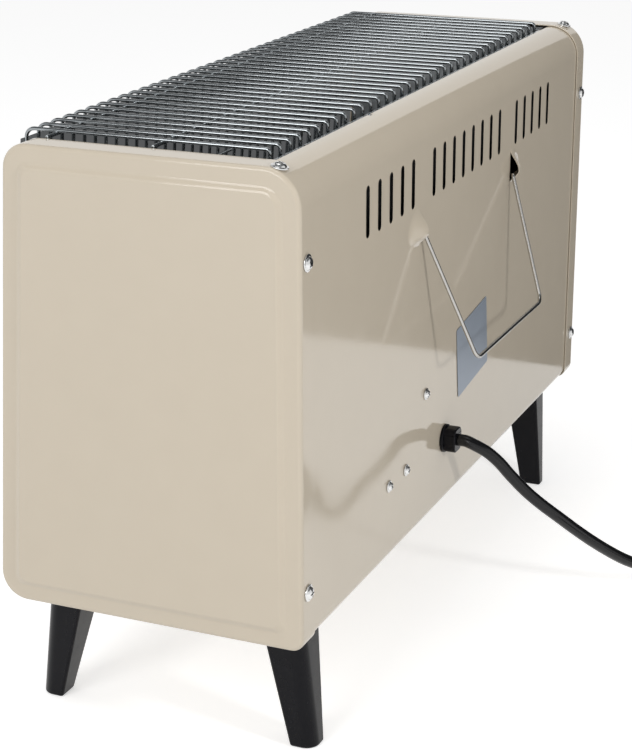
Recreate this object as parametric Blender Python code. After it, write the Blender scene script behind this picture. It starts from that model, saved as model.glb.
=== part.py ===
"""Infrared heater: a wrapped steel body on four legs, with a wire grille over its top and front.

X runs along the body, Y from front to back and Z up. Sizes are in metres. Every piece is drawn
with the back of the end caps at Y = 0 and the floor at Z = 0, and is then carried by one empty
that sets the heater over the middle of its bounding box.
"""
from math import atan2, cos, hypot, pi, radians, sin, tan

import bmesh
import bpy
from mathutils import Matrix, Vector

# Body
BODY_LENGTH = 0.585
BODY_HEIGHT = 0.301
DEPTH_AT_TOP = 0.195
DEPTH_AT_BOTTOM = 0.214
BODY_BASE = 0.089
SHEET = 0.0010
CLEARANCE = 0.0003
RADIUS_BACK_BOTTOM = 0.008
RADIUS_BACK_TOP = 0.024
RADIUS_FRONT_TOP = 0.016
RADIUS_FRONT_BOTTOM = 0.018
CORNER_STEPS = 5

# End caps
CAP_FLANGE = 0.020
CAP_FOLD_RADIUS = 0.003
CAP_BORDER_INSET = 0.013
CAP_BORDER_WIDTH = 0.005
CAP_BORDER_BEND = 0.006
CAP_PANEL_RISE = 0.002

# Back and front of the wrapped shell
SHELL_END_MARGIN = 0.006
LIP_REACH = 0.026
FRONT_STRIP_HEIGHT = 0.052
HEM_DEPTH = 0.012
HEM_BEND = 0.002
BACK_CENTRE_X = -0.0042
SLOT_WIDTH = 0.0056
SLOT_HEIGHT = 0.032
SLOT_TOP_DROP = 0.032
SLOT_PITCH = 0.020
SLOT_GROUPS = (5, 8, 5)

# Pressed pockets that hold the bail
POCKET_OFFSET = 0.098
POCKET_LENGTH = 0.022
POCKET_RISE = 0.0075
POCKET_ABOVE = 0.0165
POCKET_BELOW = 0.0105
POCKET_DROP = 0.083

# Bail
BAIL_WIRE = 0.0028
BAIL_PIVOT_DROP = 0.0855
BAIL_PIVOT_REACH = 0.0017
BAIL_TOP_HALF = 0.0954
BAIL_BOTTOM_HALF = 0.0737
BAIL_END_HALF = 0.1104
BAIL_ARM = 0.0948
BAIL_TILT = 19.5
BAIL_TOP_BEND = 0.003
BAIL_BOTTOM_BEND = 0.008

# Wire grille
WIRE = 0.0024
WIRE_COUNT = 37
WIRE_END_GAP = 0.0133
WIRE_STANDOFF = 0.0024
WIRE_WELD_DEPTH = 0.0005
WIRE_HOOK_Y = 0.0338
WIRE_HOOK_DROP = 0.0084
WIRE_HOOK_BEND = 0.0024
WIRE_FRONT_BEND = 0.006
WIRE_FOOT = 0.0095
CROSS_WIRE_TOP_DEPTHS = (0.104, 0.176)
CROSS_WIRE_FRONT_DROP = 0.070
CROSS_WIRE_FRONT_RISE = 0.0155
CROSS_WIRE_FRONT_COUNT = 3
CROSS_WIRE_END = 0.0012

# Reflector, heat shield and side plates
REFLECTOR_SHEET = 0.0006
REFLECTOR_FLANGE_BACK = 0.024
REFLECTOR_LOWER_DEPTH = 0.052
REFLECTOR_TROUGH_RADIUS = 0.090
REFLECTOR_FOOT = 0.007
SHIELD_DEPTH = 0.018
SHIELD_BOTTOM = 0.126
SHIELD_TOP = 0.285
SHIELD_RETURN = 0.008
PLATE_INSET_FROM_FLANGE = 0.001

# Heating tubes
TUBE_COUNT = 3
TUBE_DIAMETER = 0.012
TUBE_WALL = 0.0012
TUBE_SIDES = 14
TUBE_DEPTH = 0.105
TUBE_TOP_DROP = 0.070
TUBE_PITCH = 0.062
ELEMENT_DIAMETER = 0.0066
ELEMENT_LEAD = 0.0020
CERAMIC_FLANGE_DIAMETER = 0.024
CERAMIC_FLANGE = 0.005
CERAMIC_NECK_DIAMETER = 0.0175
CERAMIC_NECK = 0.011
CERAMIC_SEAT = 0.012

# Switches on the front strip
SWITCH_FROM_END = (0.1045, 0.0625)
SWITCH_HEIGHT = 0.0375
BEZEL_WIDTH = 0.030
BEZEL_HEIGHT = 0.0145
BEZEL_THICKNESS = 0.0016
BEZEL_ROUND = 0.0014
SWITCH_BODY_WIDTH = 0.027
SWITCH_BODY_HEIGHT = 0.0118
SWITCH_BODY_DEPTH = 0.016
RECESS_WIDTH = 0.0246
RECESS_HEIGHT = 0.0096
RECESS_DEPTH = 0.0082
RECESS_ROUND = 0.0004
ROCKER_WIDTH = 0.0238
ROCKER_RADIUS = 0.0039
ROCKER_PIVOT_DEPTH = 0.0040
ROCKER_CROWN = 0.0030
ROCKER_VALLEY = 0.0016
ROCKER_TILT = 8.0

# Legs
LEG_TOP_END = 0.029
LEG_TOP_LENGTH = 0.0295
LEG_FOOT_END = 0.038
LEG_FOOT_LENGTH = 0.0165
LEG_BACK_TOP = (0.0142, 0.0422)
LEG_BACK_FOOT = (0.0086, 0.0263)
LEG_FRONT_TOP = (0.1686, 0.1966)
LEG_FRONT_FOOT = (0.1948, 0.2120)
LEG_OUTER_RADIUS = 0.0095
LEG_INNER_RADIUS = 0.0020
LEG_FOOT_ROUND = 0.0020

# Fasteners
CAP_SCREW_HEAD = 0.0109
CAP_SCREW_HEAD_HEIGHT = 0.0028
CAP_SCREW_SHANK = 0.0042
CAP_SCREW_LENGTH = 0.0095
CAP_SCREW_END_INSET = 0.009
CAP_SCREW_UPPER_DROP = 0.056
CAP_SCREW_LOWER_RISE = 0.0375
CAP_SCREW_CORNER_ANGLE = 25.0
CAP_SCREW_CORNER_INSET = 0.008
BACK_SCREW_HEAD = 0.0084
BACK_SCREW_HEAD_HEIGHT = 0.0026
BACK_SCREW_SHANK = 0.0040
BACK_SCREW_LENGTH = 0.010
FOOT_SCREW_HEAD = 0.0080
FOOT_SCREW_HEAD_HEIGHT = 0.0030
FOOT_SCREW_SHANK = 0.0040
FOOT_SCREW_LENGTH = 0.016

# Pieces fixed inside the back
TERMINAL_CENTRE_X = 0.1293
TERMINAL_SCREW_SPACING = 0.032
TERMINAL_RISE = 0.0551
TERMINAL_SIZE = (0.054, 0.017, 0.019)
TERMINAL_RIBS = 4
TERMINAL_RIB_DEPTH = 0.0042
TIP_SWITCH_CENTRE_X = 0.0759
TIP_SWITCH_RISE = 0.0979
TIP_SWITCH_SIZE = (0.024, 0.020, 0.032)

# Cord gland and data plate
GLAND_X = 0.0357
GLAND_RISE = 0.0516
GLAND_FLANGE_DIAMETER = 0.0205
GLAND_FLANGE = 0.0022
GLAND_BODY_WIDTH = 0.0150
GLAND_BODY_HEIGHT = 0.0175
GLAND_BODY_LENGTH = 0.0105
GLAND_NECK_DIAMETER = 0.0140
GLAND_NECK = 0.006
PLATE_SIZE = (0.066, 0.053)
PLATE_CENTRE_X = -0.0219
PLATE_RISE = 0.1034
PLATE_TURN = 7.0
PLATE_THICKNESS = 0.0003

# Cord
CORD = 0.0088
CORD_FLOOR_GAP = 0.0017
CORD_STEP = 0.018
CORD_STRAIGHT = 0.6
# From the gland out and down to the floor: across, out from the back, above the floor
CORD_ROUTE = (
    (0.0353, 0.0218, 0.1383),
    (0.0326, 0.0306, 0.1331),
    (0.0285, 0.0386, 0.1247),
    (0.0245, 0.0450, 0.1155),
    (0.0185, 0.0550, 0.1025),
    (0.0115, 0.0650, 0.0910),
    (0.0020, 0.0755, 0.0790),
    (-0.0105, 0.0865, 0.0650),
    (-0.0245, 0.0975, 0.0510),
    (-0.0405, 0.1090, 0.0370),
    (-0.0530, 0.1185, 0.0275),
    (-0.0700, 0.1310, 0.0175),
    (-0.0880, 0.1430, 0.0105),
    (-0.1060, 0.1545, 0.0070),
)
COIL_START = (-0.1300, 0.1690)
COIL_HEADING = 148.0
COIL_RADIUS = 0.055
COIL_PITCH = 0.0110
COIL_LAYER = 0.0093
COIL_TURNS_PER_LAYER = 2
COIL_STEPS = 24
TIE_WIDTH = 0.010
TIE_THICKNESS = 0.0012
TIE_RADIAL_CLEARANCE = 0.0011
TIE_RISE_CLEARANCE = 0.0003
TAIL_LENGTH = 0.070
TAIL_SWING = 0.012
PLUG_DIAMETER = 0.036
PLUG_BODY_LENGTH = 0.030
PLUG_NOSE_LENGTH = 0.022
PLUG_NOSE_DIAMETER = 0.013
PLUG_PIN_DIAMETER = 0.0048
PLUG_PIN_LENGTH = 0.019
PLUG_PIN_SPACING = 0.019
PLUG_PIN_SEAT = 0.006

# Worked out from the sizes above
HALF = BODY_LENGTH / 2
BODY_TOP = BODY_BASE + BODY_HEIGHT
LEAN = atan2(DEPTH_AT_BOTTOM - DEPTH_AT_TOP, BODY_HEIGHT)
SHELL_INSET = SHEET + CLEARANCE
BACK_OUTER = -SHELL_INSET
BACK_INNER = BACK_OUTER - SHEET
FLANGE_EDGE = HALF - CAP_FLANGE
PLATE_OUTER = FLANGE_EDGE + PLATE_INSET_FROM_FLANGE + SHEET
PLATE_INNER = FLANGE_EDGE + PLATE_INSET_FROM_FLANGE
STRIP_TOP = BODY_BASE + FRONT_STRIP_HEIGHT
PIVOT_Z = BODY_TOP - BAIL_PIVOT_DROP
POCKET_Z = BODY_TOP - POCKET_DROP
GLAND_Z = BODY_BASE + GLAND_RISE
CORD_AXIS_ON_FLOOR = CORD / 2 + CORD_FLOOR_GAP


def clear_scene():
    """Take out whatever the scene starts with."""
    for item in list(bpy.data.objects):
        bpy.data.objects.remove(item, do_unlink=True)


def make_material(name, colour, metallic, roughness):
    """A Principled material of one colour."""
    material = bpy.data.materials.new(name)
    material.use_nodes = True
    shader = material.node_tree.nodes["Principled BSDF"]
    shader.inputs["Base Color"].default_value = (*colour, 1.0)
    shader.inputs["Metallic"].default_value = metallic
    shader.inputs["Roughness"].default_value = roughness
    material.diffuse_color = (*colour, 1.0)
    return material


def front_y(height, inset=0.0):
    """Y of the leaning front face at a height, drawn in by an inset."""
    rise = height - BODY_BASE
    depth = DEPTH_AT_BOTTOM - (DEPTH_AT_BOTTOM - DEPTH_AT_TOP) * rise / BODY_HEIGHT
    return -depth + inset / cos(LEAN)


def turn_between(first, second):
    """Signed angle from one flat direction to the next, positive to the left."""
    return atan2(first.x * second.y - first.y * second.x, first.dot(second))


def rounded_path(corners, radii, offset=0.0, steps=CORNER_STEPS, closed=False):
    """Points of a flat path with rounded corners, moved to its left by an offset.

    An open path keeps its two ends, and radii holds one value for each corner between them.
    Steps is one count of facets for all corners, or one for each of them.
    """
    if isinstance(steps, int):
        steps = (steps,) * len(radii)
    points = [Vector(corner) for corner in corners]
    count = len(points)
    rounded = []
    inner = range(count) if closed else range(1, count - 1)
    if not closed:
        along = (points[1] - points[0]).normalized()
        rounded.append(points[0] + Vector((-along.y, along.x)) * offset)
    for index, radius, facets in zip(inner, radii, steps):
        corner = points[index]
        coming = (corner - points[index - 1]).normalized()
        leaving = (points[(index + 1) % count] - corner).normalized()
        left_in = Vector((-coming.y, coming.x))
        left_out = Vector((-leaving.y, leaving.x))
        turn = turn_between(coming, leaving)
        side = 1.0 if turn > 0 else -1.0
        bend = max(radius - side * offset, 0.0004)
        moved = corner + (left_in + left_out) * offset / (1.0 + left_in.dot(left_out))
        centre = moved - coming * bend * tan(abs(turn) / 2) + left_in * side * bend
        for step in range(facets + 1):
            angle = turn * step / facets - side * pi / 2
            spoke = Vector((coming.x * cos(angle) - coming.y * sin(angle),
                            coming.x * sin(angle) + coming.y * cos(angle)))
            rounded.append(centre + spoke * bend)
    if not closed:
        along = (points[-1] - points[-2]).normalized()
        rounded.append(points[-1] + Vector((-along.y, along.x)) * offset)
    return rounded


def body_outline(inset):
    """Side outline of the body, (y, z) points, drawn in by an inset."""
    corners = (
        (front_y(BODY_BASE), BODY_BASE),
        (0.0, BODY_BASE),
        (0.0, BODY_TOP),
        (front_y(BODY_TOP), BODY_TOP),
    )
    radii = [max(radius, inset + CAP_BORDER_BEND)
             for radius in (RADIUS_FRONT_BOTTOM, RADIUS_BACK_BOTTOM, RADIUS_BACK_TOP,
                            RADIUS_FRONT_TOP)]
    return rounded_path(corners, radii, inset, closed=True)


def bridge(bm, first, second):
    """Faces between two rings of vertices."""
    count = len(first)
    for index in range(count):
        after = (index + 1) % count
        bm.faces.new((first[index], first[after], second[after], second[index]))


def loft(bm, rings, closed_loop=False):
    """A body through rings of points: its ends filled, or joined to each other."""
    levels = [[bm.verts.new(point) for point in ring] for ring in rings]
    for first, second in zip(levels, levels[1:]):
        bridge(bm, first, second)
    if closed_loop:
        bridge(bm, levels[-1], levels[0])
    else:
        bm.faces.new(levels[0])
        bm.faces.new(levels[-1])


def prism(bm, outline, low, high):
    """A body of a flat (y, z) outline that runs along X from low to high."""
    loft(bm, [[Vector((x, point[0], point[1])) for point in outline] for x in (low, high)])


def box(bm, low, high):
    """An upright box between two opposite corners."""
    outline = ((low[1], low[2]), (high[1], low[2]), (high[1], high[2]), (low[1], high[2]))
    prism(bm, outline, low[0], high[0])


def turned(bm, profile, sides, placing=None):
    """A body turned about Z from (radius, height) points that start and end on the axis."""
    placing = placing or Matrix.Identity(4)
    top = bm.verts.new(placing @ Vector((0.0, 0.0, profile[0][1])))
    bottom = bm.verts.new(placing @ Vector((0.0, 0.0, profile[-1][1])))
    levels = []
    for radius, height in profile[1:-1]:
        ring = circle(radius, height, sides)
        levels.append([bm.verts.new(placing @ point) for point in ring])
    for first, second in zip(levels, levels[1:]):
        bridge(bm, first, second)
    for index in range(sides):
        after = (index + 1) % sides
        bm.faces.new((top, levels[0][after], levels[0][index]))
        bm.faces.new((bottom, levels[-1][index], levels[-1][after]))


def circle(radius, height, sides):
    """Points of a level circle about Z."""
    angles = [2 * pi * index / sides for index in range(sides)]
    return [Vector((radius * cos(angle), radius * sin(angle), height)) for angle in angles]


def sweep(bm, path, radius, sides):
    """A round bar along a path, each section square to it and mitred at its corners."""
    rings = []
    lead = (path[1] - path[0]).normalized()
    across = lead.orthogonal().normalized()
    last = len(path) - 1
    for index, point in enumerate(path):
        ahead = (path[min(index + 1, last)] - path[max(index - 1, 0)]).normalized()
        across = lead.rotation_difference(ahead) @ across
        lead = ahead
        coming = (point - path[index - 1]).normalized() if index else ahead
        leaving = (path[index + 1] - point).normalized() if index < last else ahead
        stretch = 1.0 / max(cos(coming.angle(leaving) / 2), 0.5)
        bend = (leaving - coming).normalized() if (leaving - coming).length > 1e-6 else None
        other = lead.cross(across)
        ring = []
        for side in range(sides):
            angle = 2 * pi * (side + 0.5) / sides
            spoke = (across * cos(angle) + other * sin(angle)) * radius
            if bend is not None:
                spoke += bend * spoke.dot(bend) * (stretch - 1.0)
            ring.append(point + spoke)
        rings.append(ring)
    loft(bm, rings)


def finish(name, bm, material, parent, sharp=32.0):
    """Turn a bmesh into a named object under its parent."""
    bmesh.ops.recalc_face_normals(bm, faces=bm.faces)
    mesh = bpy.data.meshes.new(name)
    bm.to_mesh(mesh)
    bm.free()
    mesh.shade_smooth()
    mesh.set_sharp_from_angle(angle=radians(sharp))
    return place(name, mesh, material, parent)


def place(name, data, material, parent):
    """Link an object, give it its material and set it under its parent."""
    item = bpy.data.objects.new(name, data)
    bpy.context.scene.collection.objects.link(item)
    item.parent = parent
    if material is not None:
        data.materials.append(material)
    return item


def hidden(name, bm, parent):
    """A shape that only cuts or adds to another one."""
    item = finish(name, bm, None, parent)
    item.hide_render = True
    item.display_type = 'WIRE'
    return item


def combine(item, other, operation):
    """Cut another shape out of an object, or add it."""
    modifier = item.modifiers.new(operation.title(), 'BOOLEAN')
    modifier.operation = operation
    modifier.solver = 'EXACT'
    modifier.object = other


def empty(name, parent, location=(0.0, 0.0, 0.0)):
    """An empty that carries pieces."""
    item = bpy.data.objects.new(name, None)
    bpy.context.scene.collection.objects.link(item)
    item.parent = parent
    item.location = location
    return item


def drill(bm, placing, diameter, depth_out, depth_in, sides=10):
    """A round cutter about the Z of a placing, from above its origin to below it."""
    radius = diameter / 2
    profile = ((0.0, depth_out), (radius, depth_out), (radius, -depth_in), (0.0, -depth_in))
    turned(bm, profile, sides, placing)


def screw_profile(head, head_height, shank, length):
    """Outline of a round-headed screw, its seat at zero height."""
    return (
        (0.0, head_height),
        (head * 0.30, head_height * 0.94),
        (head * 0.46, head_height * 0.55),
        (head * 0.50, 0.0),
        (shank * 0.50, 0.0),
        (shank * 0.50, -length + shank * 0.5),
        (0.0, -length),
    )


def add_screw(name, placing, head, head_height, shank, length, material, parent):
    """A screw whose seat lies one clearance above the surface that a placing gives."""
    bm = bmesh.new()
    turned(bm, screw_profile(head, head_height, shank, length), 10)
    item = finish(name, bm, material, parent, 50.0)
    item.matrix_local = placing @ Matrix.Translation((0.0, 0.0, CLEARANCE))
    return item


def facing_back(x, z, y=0.0):
    """Placing whose Z points to the back, out of the back face."""
    return Matrix.Translation((x, y, z)) @ Matrix.Rotation(-pi / 2, 4, 'X')


def corner_placing(x):
    """Placing on the rounded top corner of the back, square to its surface."""
    angle = radians(CAP_SCREW_CORNER_ANGLE)
    y = -RADIUS_BACK_TOP + RADIUS_BACK_TOP * sin(angle)
    z = BODY_TOP - RADIUS_BACK_TOP + RADIUS_BACK_TOP * cos(angle)
    return Matrix.Translation((x, y, z)) @ Matrix.Rotation(-angle, 4, 'X')


def cap_screw_placings(side):
    """Where the screws of one end cap sit: two on the back and one on its top corner."""
    back_x = side * (HALF - CAP_SCREW_END_INSET)
    return (
        facing_back(back_x, BODY_TOP - CAP_SCREW_UPPER_DROP),
        facing_back(back_x, BODY_BASE + CAP_SCREW_LOWER_RISE),
        corner_placing(side * (HALF - CAP_SCREW_CORNER_INSET)),
    )


def back_screw_placings():
    """Where the three small screws of the back sit."""
    half = TERMINAL_SCREW_SPACING / 2
    height = BODY_BASE + TERMINAL_RISE
    return (
        facing_back(TERMINAL_CENTRE_X + half, height, BACK_OUTER),
        facing_back(TERMINAL_CENTRE_X - half, height, BACK_OUTER),
        facing_back(TIP_SWITCH_CENTRE_X, BODY_BASE + TIP_SWITCH_RISE, BACK_OUTER),
    )


def slot_positions():
    """X of each slot; one place stays empty between groups."""
    places = sum(SLOT_GROUPS) + len(SLOT_GROUPS) - 1
    place_index = 0
    found = []
    for group in SLOT_GROUPS:
        for _ in range(group):
            found.append(BACK_CENTRE_X + (place_index - (places - 1) / 2) * SLOT_PITCH)
            place_index += 1
        place_index += 1
    return found


def leg_sections(side, front):
    """Top and foot rectangles of a leg as (x outer, x inner, y outer, y inner)."""
    top = LEG_FRONT_TOP if front else LEG_BACK_TOP
    foot = LEG_FRONT_FOOT if front else LEG_BACK_FOOT
    outer, inner = (1, 0) if front else (0, 1)
    return (
        (side * (HALF - LEG_TOP_END), side * (HALF - LEG_TOP_END - LEG_TOP_LENGTH),
         -top[outer], -top[inner]),
        (side * (HALF - LEG_FOOT_END), side * (HALF - LEG_FOOT_END - LEG_FOOT_LENGTH),
         -foot[outer], -foot[inner]),
    )


def leg_centre(side, front):
    """Middle of the top of a leg, where its screw goes in."""
    top = leg_sections(side, front)[0]
    return (top[0] + top[1]) / 2, (top[2] + top[3]) / 2


def pocket_solid(bm, side, shrink, opening, inward):
    """Half of a pressed pocket: round outside, flat at its opening and in the panel."""
    length = POCKET_LENGTH - shrink
    rise = POCKET_RISE - shrink
    centre = Vector((BACK_CENTRE_X + side * POCKET_OFFSET, BACK_OUTER, POCKET_Z))
    rows = 4
    around = 12
    rings = []
    for row in range(rows + 1):
        reach = row / rows * 0.985
        size = cos(reach * pi / 2)
        x = centre.x + side * length * sin(reach * pi / 2)
        if row == 0:
            x -= side * opening
        ring = [Vector((x, centre.y - inward, centre.z - (POCKET_BELOW - shrink) * size))]
        for step in range(around + 1):
            angle = -pi / 2 + pi * step / around
            tall = POCKET_ABOVE if angle > 0 else POCKET_BELOW
            ring.append(Vector((x, centre.y + rise * size * cos(angle),
                                centre.z + (tall - shrink) * size * sin(angle))))
        ring.append(Vector((x, centre.y - inward, centre.z + (POCKET_ABOVE - shrink) * size)))
        rings.append(ring)
    loft(bm, rings)


def build_shell(materials, parent):
    """Back, bottom, top lip and front strip, folded from one sheet."""
    inset = SHELL_INSET
    strip_y = front_y(STRIP_TOP, inset)
    corners = (
        (strip_y + HEM_DEPTH, STRIP_TOP),
        (strip_y, STRIP_TOP),
        (front_y(BODY_BASE + inset, inset), BODY_BASE + inset),
        (-inset, BODY_BASE + inset),
        (-inset, BODY_TOP - inset),
        (-LIP_REACH, BODY_TOP - inset),
    )
    radii = (HEM_BEND, RADIUS_FRONT_BOTTOM - inset, RADIUS_BACK_BOTTOM - inset,
             RADIUS_BACK_TOP - inset)
    outer = rounded_path(corners, radii)
    inner = rounded_path(corners, radii, SHEET)
    bm = bmesh.new()
    prism(bm, outer + inner[::-1], -HALF + SHELL_END_MARGIN, HALF - SHELL_END_MARGIN)
    shell = finish("rear_shell", bm, materials["enamel"], parent)

    bm = bmesh.new()
    for side in (-1, 1):
        pocket_solid(bm, side, 0.0, 0.0, SHEET * 0.5)
    combine(shell, hidden("pocket_forms", bm, parent), 'UNION')

    bm = bmesh.new()
    for side in (-1, 1):
        pocket_solid(bm, side, SHEET, SHEET, SHEET * 3)
    combine(shell, hidden("pocket_hollows", bm, parent), 'DIFFERENCE')

    combine(shell, shell_cutter(parent), 'DIFFERENCE')
    return shell


def shell_cutter(parent):
    """Slots, screw holes, gland hole, switch windows and hem ends of the shell."""
    bm = bmesh.new()
    slot_top = BODY_TOP - SLOT_TOP_DROP
    for x in slot_positions():
        half = SLOT_WIDTH / 2
        corners = ((x - half, slot_top - SLOT_HEIGHT), (x + half, slot_top - SLOT_HEIGHT),
                   (x + half, slot_top), (x - half, slot_top))
        outline = rounded_path(corners, (half * 0.92,) * 4, steps=2, closed=True)
        loft(bm, [[Vector((point.x, y, point.y)) for point in outline]
                  for y in (BACK_OUTER + SHEET, BACK_INNER - SHEET)])
    for side in (-1, 1):
        for placing in cap_screw_placings(side):
            drill(bm, placing, CAP_SCREW_SHANK + 2 * CLEARANCE, 0.0, SHEET * 4)
        for front in (False, True):
            x, y = leg_centre(side, front)
            placing = Matrix.Translation((x, y, BODY_BASE))
            drill(bm, placing, FOOT_SCREW_SHANK + 2 * CLEARANCE, SHEET * 4, SHEET)
        hem_end = side * (PLATE_INNER - CLEARANCE * 2)
        low = (min(hem_end, side * HALF), front_y(STRIP_TOP, SHELL_INSET + SHEET),
               STRIP_TOP - SHEET * 2.5)
        high = (max(hem_end, side * HALF), front_y(STRIP_TOP) + HEM_DEPTH * 2,
                STRIP_TOP + SHEET)
        box(bm, low, high)
    for placing in back_screw_placings():
        drill(bm, placing, BACK_SCREW_SHANK + 2 * CLEARANCE, SHEET, SHEET * 3)
    drill(bm, facing_back(GLAND_X, GLAND_Z), GLAND_NECK_DIAMETER + 2 * CLEARANCE,
          SHEET, SHEET * 4, 16)
    cutter = hidden("shell_cutter", bm, parent)

    bm = bmesh.new()
    half_width = SWITCH_BODY_WIDTH / 2 + CLEARANCE
    half_height = SWITCH_BODY_HEIGHT / 2 + CLEARANCE
    for from_end in SWITCH_FROM_END:
        x = HALF - from_end
        rings = []
        for depth in (-SHEET, SHEET * 2):
            rings.append([switch_placing(x) @ Vector((x_sign * half_width, depth,
                                                      z_sign * half_height))
                          for x_sign, z_sign in ((-1, -1), (1, -1), (1, 1), (-1, 1))])
        loft(bm, rings)
    windows = hidden("switch_windows", bm, parent)
    combine(cutter, windows, 'UNION')
    return cutter


def switch_placing(x):
    """Placing on the front strip: Y goes in through the face, square to it."""
    height = BODY_BASE + SWITCH_HEIGHT
    spot = Matrix.Translation((x, front_y(height, SHELL_INSET), height))
    return spot @ Matrix.Rotation(-LEAN, 4, 'X')


def build_cap(name, side, materials, parent):
    """End cap: a pressed tray with a raised panel, its flange round the shell."""
    fold = CAP_FOLD_RADIUS
    inner_fold = fold - SHEET
    slant = 1.0 - sin(pi / 4)
    border_in = CAP_BORDER_INSET - CAP_BORDER_WIDTH / 2
    border_out = CAP_BORDER_INSET + CAP_BORDER_WIDTH / 2
    levels = (
        (border_out, HALF + CAP_PANEL_RISE),
        (border_in, HALF),
        (fold, HALF),
        (fold * slant, HALF - fold * slant),
        (0.0, HALF - fold),
        (0.0, FLANGE_EDGE),
        (SHEET, FLANGE_EDGE),
        (SHEET, HALF - fold),
        (SHEET + inner_fold * slant, HALF - SHEET - inner_fold * slant),
        (fold, HALF - SHEET),
        (border_in, HALF - SHEET),
        (border_out, HALF + CAP_PANEL_RISE - SHEET),
    )
    bm = bmesh.new()
    loft(bm, [[Vector((side * x, point.x, point.y)) for point in body_outline(inset)]
              for inset, x in levels])
    cap = finish(name, bm, materials["enamel"], parent)
    bm = bmesh.new()
    for placing in cap_screw_placings(side):
        drill(bm, placing, CAP_SCREW_SHANK + 2 * CLEARANCE, SHEET, SHEET * 2.5)
    combine(cap, hidden(name + "_holes", bm, parent), 'DIFFERENCE')
    return cap


def wire_path(x):
    """Path of one grille wire: hook at the back, over the top, down the front, foot."""
    level = BODY_TOP + WIRE_STANDOFF
    foot_z = STRIP_TOP + CLEARANCE + WIRE / 2
    out = -WIRE_STANDOFF
    corners = (
        (-WIRE_HOOK_Y, level - WIRE_HOOK_DROP),
        (-WIRE_HOOK_Y, level),
        (front_y(level, out), level),
        (front_y(foot_z, out), foot_z),
        (front_y(foot_z, out) + WIRE_FOOT, foot_z),
    )
    radii = (WIRE_HOOK_BEND, WIRE_FRONT_BEND, WIRE_HOOK_BEND)
    flat = rounded_path(corners, radii, steps=(1, 2, 1))
    return [Vector((x, point.x, point.y)) for point in flat]


def build_grille(materials, parent):
    """Welded grille: wires that wrap the top and front, on cross wires beneath them."""
    bm = bmesh.new()
    half_spread = FLANGE_EDGE - WIRE_END_GAP
    for index in range(WIRE_COUNT):
        x = half_spread * (2 * index / (WIRE_COUNT - 1) - 1)
        sweep(bm, wire_path(x), WIRE / 2, 6)
    grille = finish("grille", bm, materials["zinc_wire"], parent)

    bm = bmesh.new()
    reach = FLANGE_EDGE - CROSS_WIRE_END
    below = WIRE - WIRE_WELD_DEPTH
    spots = [(-back, BODY_TOP + WIRE_STANDOFF - below) for back in CROSS_WIRE_TOP_DEPTHS]
    highest = BODY_TOP - CROSS_WIRE_FRONT_DROP
    lowest = STRIP_TOP + CROSS_WIRE_FRONT_RISE
    for index in range(CROSS_WIRE_FRONT_COUNT):
        height = highest + (lowest - highest) * index / (CROSS_WIRE_FRONT_COUNT - 1)
        spots.append((front_y(height, below - WIRE_STANDOFF), height))
    for y, z in spots:
        sweep(bm, [Vector((-reach, y, z)), Vector((reach, y, z))], WIRE / 2, 6)
    combine(grille, hidden("cross_wires", bm, parent), 'UNION')
    return grille


def build_reflector(materials, parent):
    """Polished trough behind the tubes, from under the top lip to under the front hem."""
    top = BODY_TOP - SHELL_INSET - SHEET - CLEARANCE
    foot = STRIP_TOP - SHEET - CLEARANCE
    wall = -(WIRE_HOOK_Y - WIRE / 2 - CLEARANCE - REFLECTOR_SHEET)
    toe = front_y(STRIP_TOP, SHELL_INSET + HEM_DEPTH) - REFLECTOR_FOOT
    corners = (
        (-REFLECTOR_FLANGE_BACK, top),
        (wall + REFLECTOR_SHEET, top),
        (-REFLECTOR_LOWER_DEPTH, foot),
        (toe, foot),
    )
    radii = (REFLECTOR_SHEET * 2, REFLECTOR_TROUGH_RADIUS)
    upper = rounded_path(corners, radii, steps=8)
    lower = rounded_path(corners, radii, REFLECTOR_SHEET, steps=8)
    bm = bmesh.new()
    reach = PLATE_INNER - CLEARANCE
    prism(bm, upper + lower[::-1], -reach, reach)
    finish("reflector", bm, materials["polished"], parent)


def build_shield(materials, parent):
    """Heat shield between the reflector and the back."""
    low = BODY_BASE + SHIELD_BOTTOM
    high = BODY_BASE + SHIELD_TOP
    corners = (
        (-SHIELD_DEPTH + SHIELD_RETURN, low),
        (-SHIELD_DEPTH, low),
        (-SHIELD_DEPTH, high),
        (-SHIELD_DEPTH + SHIELD_RETURN, high),
    )
    outer = rounded_path(corners, (SHEET, SHEET), steps=2)
    inner = rounded_path(corners, (SHEET, SHEET), -REFLECTOR_SHEET, steps=2)
    bm = bmesh.new()
    reach = PLATE_INNER - CLEARANCE
    prism(bm, outer + inner[::-1], -reach, reach)
    finish("heat_shield", bm, materials["galvanised"], parent)


def tube_spots():
    """(y, z) of each heating tube."""
    first = BODY_TOP - TUBE_TOP_DROP
    spots = []
    for index in range(TUBE_COUNT):
        z = first - index * TUBE_PITCH
        spots.append((-TUBE_DEPTH - index * TUBE_PITCH * tan(LEAN), z))
    return spots


def along_x(x, y, z, side):
    """Placing whose Z points along X, away from the middle on one side."""
    return Matrix.Translation((x, y, z)) @ Matrix.Rotation(side * pi / 2, 4, 'Y')


def build_plates(materials, parent):
    """Side plates that close the trough and carry the tube holders."""
    inset = SHELL_INSET + SHEET + CLEARANCE
    for name, side in (("side_plate_right", 1), ("side_plate_left", -1)):
        bm = bmesh.new()
        prism(bm, body_outline(inset), *sorted((side * PLATE_INNER, side * PLATE_OUTER)))
        plate = finish(name, bm, materials["galvanised"], parent)
        bm = bmesh.new()
        for y, z in tube_spots():
            drill(bm, along_x(side * PLATE_INNER, y, z, side),
                  CERAMIC_NECK_DIAMETER + 2 * CLEARANCE, SHEET * 2, SHEET * 2, 16)
        combine(plate, hidden(name + "_holes", bm, parent), 'DIFFERENCE')


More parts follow.
